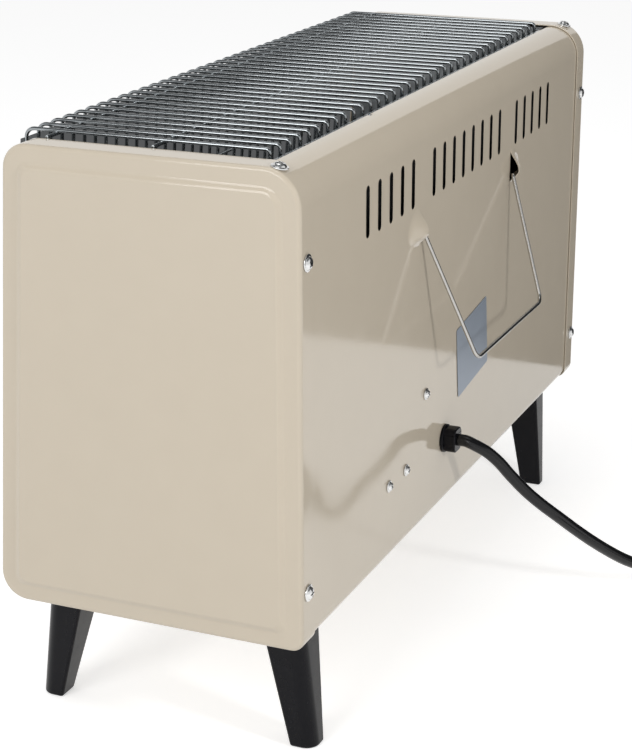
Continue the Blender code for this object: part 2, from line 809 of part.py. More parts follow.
def build_tubes(materials, parent):
    """Quartz tubes, their elements and the ceramic holders at both ends."""
    seat_face = PLATE_INNER - CLEARANCE - CERAMIC_FLANGE
    tube_end = seat_face + CERAMIC_SEAT - CLEARANCE
    lead_end = seat_face + CERAMIC_FLANGE + CERAMIC_NECK
    radius = TUBE_DIAMETER / 2
    for index, (y, z) in enumerate(tube_spots(), 1):
        centre = Matrix.Translation((0.0, y, z)) @ Matrix.Rotation(pi / 2, 4, 'Y')
        bm = bmesh.new()
        sizes = ((radius, -tube_end), (radius, tube_end),
                 (radius - TUBE_WALL, tube_end), (radius - TUBE_WALL, -tube_end))
        rings = [[centre @ point for point in circle(size, height, TUBE_SIDES)]
                 for size, height in sizes]
        loft(bm, rings, closed_loop=True)
        finish("quartz_tube_%d" % index, bm, materials["quartz"], parent)

        thick = ELEMENT_DIAMETER / 2
        thin = ELEMENT_LEAD / 2
        wound_end = seat_face - CERAMIC_FLANGE
        bm = bmesh.new()
        profile = ((0.0, lead_end), (thin, lead_end), (thin, wound_end), (thick, wound_end),
                   (thick, -wound_end), (thin, -wound_end), (thin, -lead_end),
                   (0.0, -lead_end))
        turned(bm, profile, 10, centre)
        finish("heating_element_%d" % index, bm, materials["element"], parent)

        for end, side in (("right", 1), ("left", -1)):
            flange = CERAMIC_FLANGE_DIAMETER / 2
            neck = CERAMIC_NECK_DIAMETER / 2
            bore = radius + CLEARANCE
            hole = ELEMENT_LEAD / 2 + CLEARANCE
            back = CERAMIC_FLANGE + CERAMIC_NECK
            sizes = ((flange, 0.0), (flange, CERAMIC_FLANGE), (neck, CERAMIC_FLANGE),
                     (neck, back), (hole, back), (hole, CERAMIC_SEAT), (bore, CERAMIC_SEAT),
                     (bore, 0.0))
            spot = along_x(side * seat_face, y, z, side)
            bm = bmesh.new()
            rings = [[spot @ point for point in circle(size, height, TUBE_SIDES)]
                     for size, height in sizes]
            loft(bm, rings, closed_loop=True)
            finish("ceramic_holder_%d_%s" % (index, end), bm, materials["ceramic"], parent)


def build_switches(materials, parent):
    """Two rocker switches in the front strip, each rocker on its own pivot."""
    bezel = (BEZEL_WIDTH / 2, BEZEL_HEIGHT / 2, BEZEL_ROUND)
    edge = tuple(size - BEZEL_ROUND / 2 for size in bezel)
    body = (SWITCH_BODY_WIDTH / 2, SWITCH_BODY_HEIGHT / 2, RECESS_ROUND)
    recess = (RECESS_WIDTH / 2, RECESS_HEIGHT / 2, RECESS_ROUND)
    front = -CLEARANCE - BEZEL_THICKNESS
    levels = (
        (recess, front + RECESS_DEPTH),
        (recess, front),
        (edge, front),
        (bezel, front + BEZEL_ROUND / 2),
        (bezel, -CLEARANCE),
        (body, -CLEARANCE),
        (body, SWITCH_BODY_DEPTH),
    )
    for index, from_end in enumerate(SWITCH_FROM_END, 1):
        mount = empty("switch_mount_%d" % index, parent)
        mount.matrix_local = switch_placing(HALF - from_end)
        bm = bmesh.new()
        rings = []
        for (half_width, half_height, radius), depth in levels:
            corners = ((-half_width, -half_height), (half_width, -half_height),
                       (half_width, half_height), (-half_width, half_height))
            outline = rounded_path(corners, (radius,) * 4, steps=1, closed=True)
            rings.append([Vector((point.x, depth, point.y)) for point in outline])
        loft(bm, rings)
        finish("switch_housing_%d" % index, bm, materials["black_plastic"], mount)

        pivot = empty("rocker_pivot_%d" % index, mount, (0.0, front + ROCKER_PIVOT_DEPTH, 0.0))
        outline = []
        for step in range(9):
            angle = pi * step / 8
            outline.append((ROCKER_RADIUS * sin(angle), -ROCKER_RADIUS * cos(angle)))
        crown = -ROCKER_PIVOT_DEPTH - ROCKER_CROWN
        valley = -ROCKER_PIVOT_DEPTH - ROCKER_VALLEY
        outline += [(crown, ROCKER_RADIUS), (valley, 0.0), (crown, -ROCKER_RADIUS)]
        bm = bmesh.new()
        prism(bm, outline, -ROCKER_WIDTH / 2, ROCKER_WIDTH / 2)
        rocker = finish("rocker_%d" % index, bm, materials["black_gloss"], pivot)
        rocker.rotation_euler.x = radians(ROCKER_TILT)


def leg_ring(section, height, grow=0.0):
    """Rounded outline of a leg at one height; the outer corner is the rounder one."""
    x_outer, x_inner, y_outer, y_inner = section
    x_way = 1.0 if x_outer > x_inner else -1.0
    y_way = 1.0 if y_outer > y_inner else -1.0
    x_outer, x_inner = x_outer + x_way * grow, x_inner - x_way * grow
    y_outer, y_inner = y_outer + y_way * grow, y_inner - y_way * grow
    corners = [(x_inner, y_inner), (x_outer, y_inner), (x_outer, y_outer), (x_inner, y_outer)]
    radii = [LEG_INNER_RADIUS, LEG_INNER_RADIUS, LEG_OUTER_RADIUS, LEG_INNER_RADIUS]
    if x_way * y_way < 0:
        corners.reverse()
        radii.reverse()
    outline = rounded_path(corners, radii, steps=3, closed=True)
    return [Vector((point.x, point.y, height)) for point in outline]


def build_legs(materials, parent):
    """Tapered legs under the shell, each with one screw from inside the body."""
    under = BODY_BASE + SHELL_INSET - CLEARANCE
    floor_plate = BODY_BASE + SHELL_INSET + SHEET
    for row, front in (("front", True), ("back", False)):
        for end, side in (("right", 1), ("left", -1)):
            name = "%s_%s" % (row, end)
            top, foot = leg_sections(side, front)
            share = LEG_FOOT_ROUND / under
            above = [low + (high - low) * share for high, low in zip(top, foot)]
            bm = bmesh.new()
            loft(bm, [leg_ring(top, under), leg_ring(above, LEG_FOOT_ROUND),
                      leg_ring(foot, 0.0, -LEG_FOOT_ROUND * 0.7)])
            leg = finish("leg_" + name, bm, materials["black_plastic"], parent)
            x, y = leg_centre(side, front)
            bm = bmesh.new()
            drill(bm, Matrix.Translation((x, y, under)), FOOT_SCREW_SHANK + 2 * CLEARANCE,
                  SHEET, FOOT_SCREW_LENGTH)
            combine(leg, hidden("leg_hole_" + name, bm, parent), 'DIFFERENCE')
            add_screw("leg_screw_" + name, Matrix.Translation((x, y, floor_plate)),
                      FOOT_SCREW_HEAD, FOOT_SCREW_HEAD_HEIGHT, FOOT_SCREW_SHANK,
                      FOOT_SCREW_LENGTH, materials["zinc_screw"], parent)


def build_screws(materials, parent):
    """Screws of the end caps and of the back."""
    labels = ("upper", "lower", "corner")
    for end, side in (("right", 1), ("left", -1)):
        for label, placing in zip(labels, cap_screw_placings(side)):
            add_screw("cap_screw_%s_%s" % (end, label), placing, CAP_SCREW_HEAD,
                      CAP_SCREW_HEAD_HEIGHT, CAP_SCREW_SHANK, CAP_SCREW_LENGTH,
                      materials["zinc_screw"], parent)
    for index, placing in enumerate(back_screw_placings(), 1):
        add_screw("back_screw_%d" % index, placing, BACK_SCREW_HEAD, BACK_SCREW_HEAD_HEIGHT,
                  BACK_SCREW_SHANK, BACK_SCREW_LENGTH, materials["zinc_screw"], parent)


def build_back_fittings(materials, parent):
    """Terminal block and tip-over switch, held inside the back by the small screws."""
    face = BACK_INNER - CLEARANCE
    width, depth, height = TERMINAL_SIZE
    z = BODY_BASE + TERMINAL_RISE
    bm = bmesh.new()
    rib = width / (TERMINAL_RIBS * 2 - 1)
    outline = []
    for index in range(TERMINAL_RIBS * 2 - 1):
        x = TERMINAL_CENTRE_X - width / 2 + index * rib
        y = face - depth + (index % 2) * TERMINAL_RIB_DEPTH
        outline += [(x, y), (x + rib, y)]
    outline += [(TERMINAL_CENTRE_X + width / 2, face), (TERMINAL_CENTRE_X - width / 2, face)]
    loft(bm, [[Vector((x, y, level)) for x, y in outline]
              for level in (z - height / 2, z + height / 2)])
    block = finish("terminal_block", bm, materials["white_plastic"], parent)
    bm = bmesh.new()
    for placing in back_screw_placings()[:2]:
        drill(bm, placing, BACK_SCREW_SHANK + 2 * CLEARANCE, 0.0, BACK_SCREW_LENGTH + SHEET)
    combine(block, hidden("terminal_block_holes", bm, parent), 'DIFFERENCE')

    width, depth, height = TIP_SWITCH_SIZE
    z = BODY_BASE + TIP_SWITCH_RISE
    bm = bmesh.new()
    box(bm, (TIP_SWITCH_CENTRE_X - width / 2, face - depth, z - height / 2),
        (TIP_SWITCH_CENTRE_X + width / 2, face, z + height / 2))
    tip = finish("tip_over_switch", bm, materials["black_plastic"], parent)
    bm = bmesh.new()
    drill(bm, back_screw_placings()[2], BACK_SCREW_SHANK + 2 * CLEARANCE, 0.0,
          BACK_SCREW_LENGTH + SHEET)
    combine(tip, hidden("tip_over_switch_hole", bm, parent), 'DIFFERENCE')


def build_bail(materials, parent):
    """Wire bail, sprung into the two pockets, on a pivot empty at its axis."""
    pivot = empty("bail_pivot", parent, (BACK_CENTRE_X, BAIL_PIVOT_REACH, PIVOT_Z))
    pivot.rotation_euler.x = radians(BAIL_TILT)
    half = (
        (BAIL_END_HALF, 0.0),
        (BAIL_TOP_HALF, 0.0),
        (BAIL_BOTTOM_HALF, -BAIL_ARM),
    )
    corners = [(-x, z) for x, z in half] + [(x, z) for x, z in reversed(half)]
    radii = (BAIL_TOP_BEND, BAIL_BOTTOM_BEND, BAIL_BOTTOM_BEND, BAIL_TOP_BEND)
    flat = rounded_path(corners, radii, steps=4)
    bm = bmesh.new()
    sweep(bm, [Vector((point.x, 0.0, point.y)) for point in flat], BAIL_WIRE / 2, 10)
    finish("bail", bm, materials["zinc_wire"], pivot, 50.0)


def build_gland(materials, parent):
    """Cord gland in the back: a neck through the panel, a flange and a clamping snout."""
    sides = 20
    front = CLEARANCE
    rings = []
    for reach in (-GLAND_NECK, front):
        rings.append(circle(GLAND_NECK_DIAMETER / 2, reach, sides))
    for reach in (front, front + GLAND_FLANGE):
        rings.append(circle(GLAND_FLANGE_DIAMETER / 2, reach, sides))
    for reach, share in ((front + GLAND_FLANGE, 0.96), (front + GLAND_BODY_LENGTH, 1.0)):
        ring = []
        for index in range(sides):
            angle = 2 * pi * index / sides
            across, up = cos(angle), sin(angle)
            flat = max(abs(across), abs(up)) ** 0.55
            ring.append(Vector((across / flat * GLAND_BODY_WIDTH / 2 * share,
                                up / flat * GLAND_BODY_HEIGHT / 2 * share, reach)))
        rings.append(ring)
    placing = facing_back(GLAND_X, GLAND_Z, BACK_OUTER)
    bm = bmesh.new()
    loft(bm, [[placing @ point for point in ring] for ring in rings])
    finish("cord_gland", bm, materials["black_plastic"], parent)


def build_plate(materials, parent):
    """Blank data plate on the back, set a little askew."""
    half_width, half_height = PLATE_SIZE[0] / 2, PLATE_SIZE[1] / 2
    y = BACK_OUTER + CLEARANCE
    bm = bmesh.new()
    box(bm, (-half_width, 0.0, -half_height), (half_width, PLATE_THICKNESS, half_height))
    plate = finish("data_plate", bm, materials["foil"], parent)
    plate.location = (PLATE_CENTRE_X, y, BODY_BASE + PLATE_RISE)
    plate.rotation_euler.y = radians(PLATE_TURN)


def smooth_route(points, step):
    """Points at even steps along the smooth curve through hand-chosen ones.

    The first and the last stretch stay straight. The length of the curve comes with them.
    """
    dense = []
    last = len(points) - 1
    for index in range(1, last - 1):
        before, start, end, after = points[index - 1:index + 3]
        for part in range(12):
            t = part / 12
            dense.append(0.5 * (2 * start + (end - before) * t
                                + (2 * before - 5 * start + 4 * end - after) * t ** 2
                                + (3 * start - before - 3 * end + after) * t ** 3))
    dense.append(points[-2])
    lengths = [0.0]
    for first, second in zip(dense, dense[1:]):
        lengths.append(lengths[-1] + (second - first).length)
    count = max(2, round(lengths[-1] / step))
    route = [points[0]]
    place_index = 0
    for number in range(count + 1):
        wanted = lengths[-1] * number / count
        while place_index < len(dense) - 2 and lengths[place_index + 1] < wanted:
            place_index += 1
        span = lengths[place_index + 1] - lengths[place_index]
        share = (wanted - lengths[place_index]) / span
        route.append(dense[place_index].lerp(dense[place_index + 1], min(share, 1.0)))
    route.append(points[-1])
    length = lengths[-1] + (route[1] - route[0]).length + (route[-1] - route[-2]).length
    return route, length


def cord_object(name, points, resolution, material, parent):
    """A round cord along points."""
    curve = bpy.data.curves.new(name, 'CURVE')
    curve.dimensions = '3D'
    curve.bevel_depth = CORD / 2
    curve.bevel_resolution = resolution
    curve.use_fill_caps = True
    curve.resolution_u = 1
    curve.render_resolution_u = 0
    spline = curve.splines.new('POLY')
    spline.points.add(len(points) - 1)
    for spot, point in zip(spline.points, points):
        spot.co = (*point, 1.0)
    return place(name, curve, material, parent)


def coil_points():
    """Centre line of the coiled cord: in on one layer, a climb, and out on the next.

    It starts where the free stretch meets it, runs clockwise seen from above, and its two
    ends run straight for one diameter of the cord.
    """
    heading = radians(COIL_HEADING)
    ahead = Vector((cos(heading), sin(heading), 0.0))
    right = Vector((sin(heading), -cos(heading), 0.0))
    start = Vector((*COIL_START, CORD_AXIS_ON_FLOOR))
    centre = start + ahead * CORD + right * COIL_RADIUS
    turns = COIL_TURNS_PER_LAYER
    points = [start]
    steps = round((2 * turns + 0.5) * COIL_STEPS)
    for step in range(steps + 1):
        turn = step / COIL_STEPS
        if turn <= turns:
            radius, rise = COIL_RADIUS - COIL_PITCH * turn, 0.0
        elif turn <= turns + 0.5:
            radius, rise = COIL_RADIUS - COIL_PITCH * turns, (turn - turns) * 2 * COIL_LAYER
        else:
            radius = COIL_RADIUS - COIL_PITCH * (2 * turns + 0.5 - turn)
            rise = COIL_LAYER
        angle = 2 * pi * turn
        spoke = -right * cos(angle) + ahead * sin(angle)
        points.append(centre + spoke * radius + Vector((0.0, 0.0, rise)))
    end_way = (points[-1] - points[-2])
    end_way.z = 0.0
    points.append(points[-1] + end_way.normalized() * CORD)
    return points, centre, ahead, right


def least_gap(points, neighbours):
    """Least distance between strands of a cord, less its diameter."""
    least = None
    for index, point in enumerate(points):
        for other in points[index + neighbours:]:
            gap = (other - point).length - CORD
            least = gap if least is None else min(least, gap)
    return least


def build_cord(materials, parent):
    """Mains cord: the free stretch, the coil with its tie, the tail and the plug."""
    coil, centre, ahead, right = coil_points()
    first_way = (coil[1] - coil[0]).normalized()
    gland_end = Vector((GLAND_X, BACK_OUTER + CLEARANCE + GLAND_BODY_LENGTH, GLAND_Z))
    begin = gland_end + Vector((0.0, CLEARANCE, 0.0))
    route = [begin, begin + Vector((0.0, CORD * CORD_STRAIGHT, 0.0))]
    route += [Vector(point) for point in CORD_ROUTE]
    route += [coil[0] - first_way * (CORD + CLEARANCE), coil[0] - first_way * CLEARANCE]
    free, free_length = smooth_route(route, CORD_STEP)
    cord_object("cord_free", free, 2, materials["black_cord"], parent)
    cord_object("cord_coil", coil, 1, materials["black_cord"], parent)

    last_way = (coil[-1] - coil[-2]).normalized()
    side_way = Vector((last_way.y, -last_way.x, 0.0))
    plug_axis = PLUG_DIAMETER / 2 + CLEARANCE
    rise = Vector((0.0, 0.0, plug_axis - coil[-1].z))
    tail_start = coil[-1] + last_way * CLEARANCE
    tail_end = tail_start + last_way * TAIL_LENGTH + side_way * TAIL_SWING + rise
    tail_route = [
        tail_start,
        tail_start + last_way * CORD,
        tail_start.lerp(tail_end, 0.5) + side_way * TAIL_SWING * -0.25,
        tail_end - last_way * CORD,
        tail_end,
    ]
    tail, tail_length = smooth_route(tail_route, CORD_STEP * 0.7)
    cord_object("cord_tail", tail, 2, materials["black_cord"], parent)
    build_tie(materials, parent, centre, ahead, right)
    build_plug(materials, parent, tail_end + last_way * CLEARANCE, last_way)

    coil_length = sum((b - a).length for a, b in zip(coil, coil[1:]))
    print("cord length %.3f m" % (free_length + coil_length + tail_length))
    print("least gap in the coil %.2f mm" % (least_gap(coil, COIL_STEPS // 2) * 1000))


def build_tie(materials, parent, centre, ahead, right):
    """Strap round the coil, a quarter turn from its start."""
    turns = COIL_TURNS_PER_LAYER
    outer = COIL_RADIUS - COIL_PITCH * 0.25 + CORD / 2 + TIE_RADIAL_CLEARANCE
    inner = COIL_RADIUS - COIL_PITCH * turns - CORD / 2 - TIE_RADIAL_CLEARANCE
    low = -CORD / 2 - TIE_RISE_CLEARANCE
    high = COIL_LAYER + CORD / 2 + TIE_RISE_CLEARANCE
    corners = ((inner, low), (outer, low), (outer, high), (inner, high))
    bore = rounded_path(corners, (0.003,) * 4, steps=3, closed=True)
    skin = rounded_path(corners, (0.003,) * 4, -TIE_THICKNESS, steps=3, closed=True)
    half = TIE_WIDTH / 2
    rings = []
    for outline, along in ((bore, -half), (skin, -half), (skin, half), (bore, half)):
        rings.append([centre + ahead * point.x - right * along + Vector((0.0, 0.0, point.y))
                      for point in outline])
    bm = bmesh.new()
    loft(bm, rings, closed_loop=True)
    finish("cord_tie", bm, materials["black_fabric"], parent)


def build_plug(materials, parent, start, way):
    """Round moulded plug with two pins, lying on the floor."""
    up = Vector((0.0, 0.0, 1.0))
    side = up.cross(way)
    frame = Matrix((side, up, way)).transposed().to_4x4()
    placing = Matrix.Translation(start) @ frame
    nose = PLUG_NOSE_DIAMETER / 2
    body = PLUG_DIAMETER / 2
    face = PLUG_NOSE_LENGTH + PLUG_BODY_LENGTH
    bm = bmesh.new()
    profile = ((0.0, 0.0), (nose * 0.85, 0.0), (nose, PLUG_NOSE_LENGTH * 0.6),
               (body * 0.75, PLUG_NOSE_LENGTH), (body * 0.92, PLUG_NOSE_LENGTH * 1.3),
               (body, PLUG_NOSE_LENGTH * 1.8), (body, face), (0.0, face))
    turned(bm, profile, 20, placing)
    plug = finish("plug_body", bm, materials["black_plastic"], parent)
    bm = bmesh.new()
    for index, offset in enumerate((-0.5, 0.5), 1):
        pin = placing @ Matrix.Translation((offset * PLUG_PIN_SPACING, 0.0, face))
        drill(bm, pin, PLUG_PIN_DIAMETER + 2 * CLEARANCE, SHEET, PLUG_PIN_SEAT)
        radius = PLUG_PIN_DIAMETER / 2
        low = -PLUG_PIN_SEAT + CLEARANCE
        shape = ((0.0, PLUG_PIN_LENGTH), (radius * 0.6, PLUG_PIN_LENGTH),
                 (radius, PLUG_PIN_LENGTH - radius * 0.6), (radius, low), (0.0, low))
        pin_mesh = bmesh.new()
        turned(pin_mesh, shape, 10, pin)
        finish("plug_pin_%d" % index, pin_mesh, materials["nickel"], parent)
    combine(plug, hidden("plug_holes", bm, parent), 'DIFFERENCE')


def reach_along_y(items):
    """Least and greatest Y of some objects in the world."""
    bpy.context.view_layer.update()
    values = []
    for item in items:
        values += [(item.matrix_world @ vertex.co).y for vertex in item.data.vertices]
    return min(values), max(values)


def main():
    """Build the heater and set it over the middle of its bounding box."""
    clear_scene()
    materials = {
        "enamel": make_material("cream_enamel", (0.62, 0.56, 0.46), 0.0, 0.22),
        "zinc_wire": make_material("zinc_wire", (0.62, 0.63, 0.64), 1.0, 0.25),
        "zinc_screw": make_material("zinc_screw", (0.70, 0.70, 0.69), 1.0, 0.22),
        "polished": make_material("polished_aluminium", (0.78, 0.79, 0.80), 1.0, 0.12),
        "galvanised": make_material("galvanised_steel", (0.50, 0.52, 0.53), 1.0, 0.42),
        "quartz": make_material("quartz", (0.86, 0.86, 0.84), 0.0, 0.15),
        "element": make_material("heating_wire", (0.20, 0.18, 0.17), 1.0, 0.55),
        "ceramic": make_material("ceramic", (0.82, 0.80, 0.75), 0.0, 0.45),
        "black_plastic": make_material("black_plastic", (0.012, 0.012, 0.014), 0.0, 0.42),
        "black_gloss": make_material("black_gloss_plastic", (0.010, 0.010, 0.011), 0.0, 0.18),
        "white_plastic": make_material("white_plastic", (0.70, 0.70, 0.66), 0.0, 0.40),
        "black_cord": make_material("black_cord", (0.010, 0.010, 0.011), 0.0, 0.30),
        "black_fabric": make_material("black_strap", (0.014, 0.014, 0.015), 0.0, 0.80),
        "foil": make_material("blue_grey_foil", (0.30, 0.36, 0.43), 0.35, 0.35),
        "nickel": make_material("nickel", (0.72, 0.70, 0.66), 1.0, 0.20),
    }
    root = empty("heater_frame", None)
    build_shell(materials, root)
    build_cap("end_cap_right", 1, materials, root)
    build_cap("end_cap_left", -1, materials, root)
    build_grille(materials, root)
    build_reflector(materials, root)
    build_shield(materials, root)
    build_plates(materials, root)
    build_tubes(materials, root)
    build_switches(materials, root)
    build_legs(materials, root)
    build_screws(materials, root)
    build_back_fittings(materials, root)
    build_bail(materials, root)
    build_gland(materials, root)
    build_plate(materials, root)
    build_cord(materials, root)
    outermost = [bpy.data.objects[name]
                 for name in ("grille", "rocker_1", "bail", "end_cap_right", "leg_front_right")]
    front, back = reach_along_y(outermost)
    root.location.y = -(front + back) / 2
    bpy.context.view_layer.update()


main()
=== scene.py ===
from contextlib import contextmanager
from math import atan2, cos, pi, radians, sin, tan

import bmesh
import bpy
from mathutils import Matrix, Vector


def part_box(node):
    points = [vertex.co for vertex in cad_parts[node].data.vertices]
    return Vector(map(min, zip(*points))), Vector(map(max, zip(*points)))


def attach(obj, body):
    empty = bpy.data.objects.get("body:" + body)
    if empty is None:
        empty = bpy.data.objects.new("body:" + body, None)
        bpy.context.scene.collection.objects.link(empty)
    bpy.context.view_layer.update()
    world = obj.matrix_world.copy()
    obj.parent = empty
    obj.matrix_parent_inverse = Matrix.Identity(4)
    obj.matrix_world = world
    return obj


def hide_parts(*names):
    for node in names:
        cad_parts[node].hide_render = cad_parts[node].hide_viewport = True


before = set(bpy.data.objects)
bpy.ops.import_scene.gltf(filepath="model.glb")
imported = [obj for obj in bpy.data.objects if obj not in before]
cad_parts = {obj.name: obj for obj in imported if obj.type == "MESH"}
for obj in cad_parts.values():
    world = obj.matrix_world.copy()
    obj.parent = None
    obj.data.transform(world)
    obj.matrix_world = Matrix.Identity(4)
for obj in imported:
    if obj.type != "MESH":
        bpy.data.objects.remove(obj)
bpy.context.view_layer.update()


def newest(name):
    """The object that was just added, under its name."""
    piece = bpy.context.object
    piece.name = name
    return piece


# Camera
# It stands off the back right corner of the heater, a little above it, and sees the back, the
# right end cap and the top.
CAMERA_AZIMUTH = radians(113.2277)
CAMERA_ELEVATION = radians(18.8706)
CAMERA_ROLL = radians(-0.126)
CAMERA_PLACE = (1.26946, 0.51903, 0.63369)
CAMERA_LENS = 93.38

backward = Vector((sin(CAMERA_AZIMUTH) * cos(CAMERA_ELEVATION),
                   -cos(CAMERA_AZIMUTH) * cos(CAMERA_ELEVATION), sin(CAMERA_ELEVATION)))
rightward = Vector((0.0, 0.0, 1.0)).cross(backward).normalized()
upward = backward.cross(rightward)
turned_right = rightward * cos(CAMERA_ROLL) + upward * sin(CAMERA_ROLL)
turned_up = upward * cos(CAMERA_ROLL) - rightward * sin(CAMERA_ROLL)
bpy.ops.object.camera_add(location=CAMERA_PLACE)
camera = newest("photo_camera")
camera.rotation_euler = Matrix((turned_right, turned_up, backward)).transposed().to_euler()
camera.data.lens = CAMERA_LENS
camera.data.sensor_width = 36.0
camera.data.clip_end = 50.0
bpy.context.scene.camera = camera

# Floor, backdrop cards and light
# A white floor that keeps the heater's shadow. Grey cards, which the camera doesn't see, give the
# glossy enamel and the bright wire something to mirror. One more stands before the front: seen
# from inside it is the dark room behind the wires, and from the front it isn't there.
FLOOR_HALF = 6.0
LEFT_CARD_X = -0.555
LEFT_CARD_SPAN = (0.13, 1.60)
LEFT_CARD_HEIGHT = 1.5
TOP_CARD_HEIGHT = 2.6
TOP_CARD_SIZE = 6.0
FRONT_CARD_SIZE = (0.5495, 0.243)
FRONT_CARD_PLACE = (-0.01275, -0.1175, 0.2645)
FRONT_CARD_LEAN = radians(3.6)
FLOOR_TONE = (0.86, 0.86, 0.86, 1.0)
FLOOR_GLOW = 0.56
ROOM_LIGHT = 0.42
LEFT_CARD_TONE = 0.05
TOP_CARD_TONE = 0.22
FRONT_CARD_TONE = 0.10


def set_inputs(node, inputs):
    """Give a node its inputs: a socket is linked, and anything else is the input's own value."""
    for name, value in inputs.items():
        if isinstance(value, bpy.types.NodeSocket):
            node.id_data.links.new(value, node.inputs[name])
        else:
            node.inputs[name].default_value = value


def add_node(tree, kind, inputs=None, **settings):
    """A node of a kind with its settings and its inputs."""
    node = tree.nodes.new(kind)
    for key, value in settings.items():
        setattr(node, key, value)
    set_inputs(node, inputs or {})
    return node


def calculate(tree, operation, *values):
    """The result of a math node on some sockets and numbers."""
    return add_node(tree, "ShaderNodeMath", dict(enumerate(values)), operation=operation).outputs[0]


def new_material(name, inputs=None):
    """A fresh node material with some inputs of its shader; gives its tree and shader too."""
    material = bpy.data.materials.new(name)
    material.use_nodes = True
    tree = material.node_tree
    shader = tree.nodes["Principled BSDF"]
    set_inputs(shader, inputs or {})
    return material, tree, shader


def seen_as_background(tree):
    """A value of one for rays that look at the backdrop straight or in a mirror or glass."""
    path = add_node(tree, "ShaderNodeLightPath").outputs
    looking = calculate(tree, 'MAXIMUM', path["Is Camera Ray"], path["Is Glossy Ray"])
    return calculate(tree, 'MAXIMUM', looking, path["Is Transmission Ray"])


bpy.ops.mesh.primitive_plane_add(size=2 * FLOOR_HALF)
floor = newest("floor")
floor_material, tree, shader = new_material("white_floor", {
    "Base Color": FLOOR_TONE, "Roughness": 0.9, "Specular IOR Level": 0.0,
    "Emission Color": (1.0, 1.0, 1.0, 1.0)})
set_inputs(shader, {
    "Emission Strength": calculate(tree, 'MULTIPLY', seen_as_background(tree), FLOOR_GLOW)})
floor.data.materials.append(floor_material)


def add_card(name, place, size, turn, tone):
    """A grey card that only mirrors show; gives the card, its tree and its shader."""
    bpy.ops.mesh.primitive_plane_add(size=1, location=place, rotation=turn)
    card = newest(name)
    card.scale = (*size, 1.0)
    material, tree, shader = new_material(name, {
        "Base Color": (0.0, 0.0, 0.0, 1.0), "Specular IOR Level": 0.0,
        "Emission Color": (tone * 0.97, tone, tone * 1.02, 1.0), "Emission Strength": 1.0})
    card.data.materials.append(material)
    card.visible_camera = False
    card.visible_shadow = False
    card.visible_diffuse = False
    return card, tree, shader


add_card("left_card", (LEFT_CARD_X, sum(LEFT_CARD_SPAN) / 2, LEFT_CARD_HEIGHT / 2),
         (LEFT_CARD_HEIGHT, LEFT_CARD_SPAN[1] - LEFT_CARD_SPAN[0]), (0.0, pi / 2, 0.0),
         LEFT_CARD_TONE)
add_card("top_card", (0.0, 0.0, TOP_CARD_HEIGHT), (TOP_CARD_SIZE, TOP_CARD_SIZE), (0.0, 0.0, 0.0),
         TOP_CARD_TONE)
front_card, tree, shader = add_card("front_card", FRONT_CARD_PLACE, FRONT_CARD_SIZE,
                                    (pi / 2 - FRONT_CARD_LEAN, 0.0, 0.0), FRONT_CARD_TONE)
front_card.visible_camera = True
one_sided = add_node(tree, "ShaderNodeMixShader", {
    "Fac": add_node(tree, "ShaderNodeNewGeometry").outputs["Backfacing"],
    1: add_node(tree, "ShaderNodeBsdfTransparent").outputs["BSDF"], 2: shader.outputs["BSDF"]})
set_inputs(tree.nodes["Material Output"], {"Surface": one_sided.outputs["Shader"]})

world = bpy.data.worlds.new("white_room")
bpy.context.scene.world = world
world.use_nodes = True
tree = world.node_tree
strength = add_node(tree, "ShaderNodeMapRange", {
    "Value": seen_as_background(tree), "To Min": ROOM_LIGHT, "To Max": 1.0})
set_inputs(tree.nodes["Background"], {
    "Color": (1.0, 1.0, 1.0, 1.0), "Strength": strength.outputs["Result"]})


def add_softbox(name, place, target, size, watts):
    """A square soft light that points at a target."""
    bpy.ops.object.light_add(type='AREA', location=place)
    lamp = newest(name)
    lamp.data.shape = 'SQUARE'
    lamp.data.size = size
    lamp.data.energy = watts
    aim = Vector(place) - Vector(target)
    lamp.rotation_euler = aim.to_track_quat('Z', 'Y').to_euler()
    return lamp


add_softbox("end_light", (2.4, -0.5, 1.3), (0.0, 0.0, 0.2), 1.2, 23.5)
add_softbox("top_light", (0.2, -0.2, 2.2), (0.0, 0.0, 0.3), 1.0, 6.5)
back_light = add_softbox("back_light", (0.50, 0.92, 0.62), (0.0, 0.09, 0.25), 0.10, 2.6)
back_light.visible_glossy = False
bpy.context.scene.view_settings.view_transform = 'Standard'

# Mains cord
# Black round three-core cord, 8.8 mm thick. It bends down from its gland to the floor, lies
# there in four turns under a strap, and ends in its plug.
CORD = 0.0088
CLEARANCE = 0.0003
BACK_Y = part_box("end_cap_right")[1][1]
GLAND_X = 0.0357
GLAND_Z = 0.1406
GLAND_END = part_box("cord_gland")[1][1] - BACK_Y
CORD_STRAIGHT = 0.6
CORD_PARTS = 4
TAIL_PARTS = 6
CORD_FLOOR_GAP = 0.0017
# From the gland out and down to the floor: across, out from the back, above the floor
CORD_ROUTE = (
    (0.0353, 0.0218, 0.1383),
    (0.0326, 0.0306, 0.1331),
    (0.0285, 0.0386, 0.1247),
    (0.0245, 0.0450, 0.1155),
    (0.0185, 0.0550, 0.1025),
    (0.0115, 0.0650, 0.0910),
    (0.0020, 0.0755, 0.0790),
    (-0.0105, 0.0865, 0.0650),
    (-0.0245, 0.0975, 0.0510),
    (-0.0405, 0.1090, 0.0370),
    (-0.0530, 0.1185, 0.0275),
    (-0.0700, 0.1310, 0.0175),
    (-0.0880, 0.1430, 0.0105),
    (-0.1060, 0.1545, 0.0070),
)
COIL_START = (-0.1300, 0.1690)
COIL_HEADING = radians(148.0)
COIL_RADIUS = 0.055
COIL_PITCH = 0.0110
COIL_LAYER = 0.0093
COIL_TURNS_PER_LAYER = 2
COIL_STEPS = 24
TAIL_LENGTH = 0.070
TAIL_SWING = 0.012
PLUG_DIAMETER = 0.036


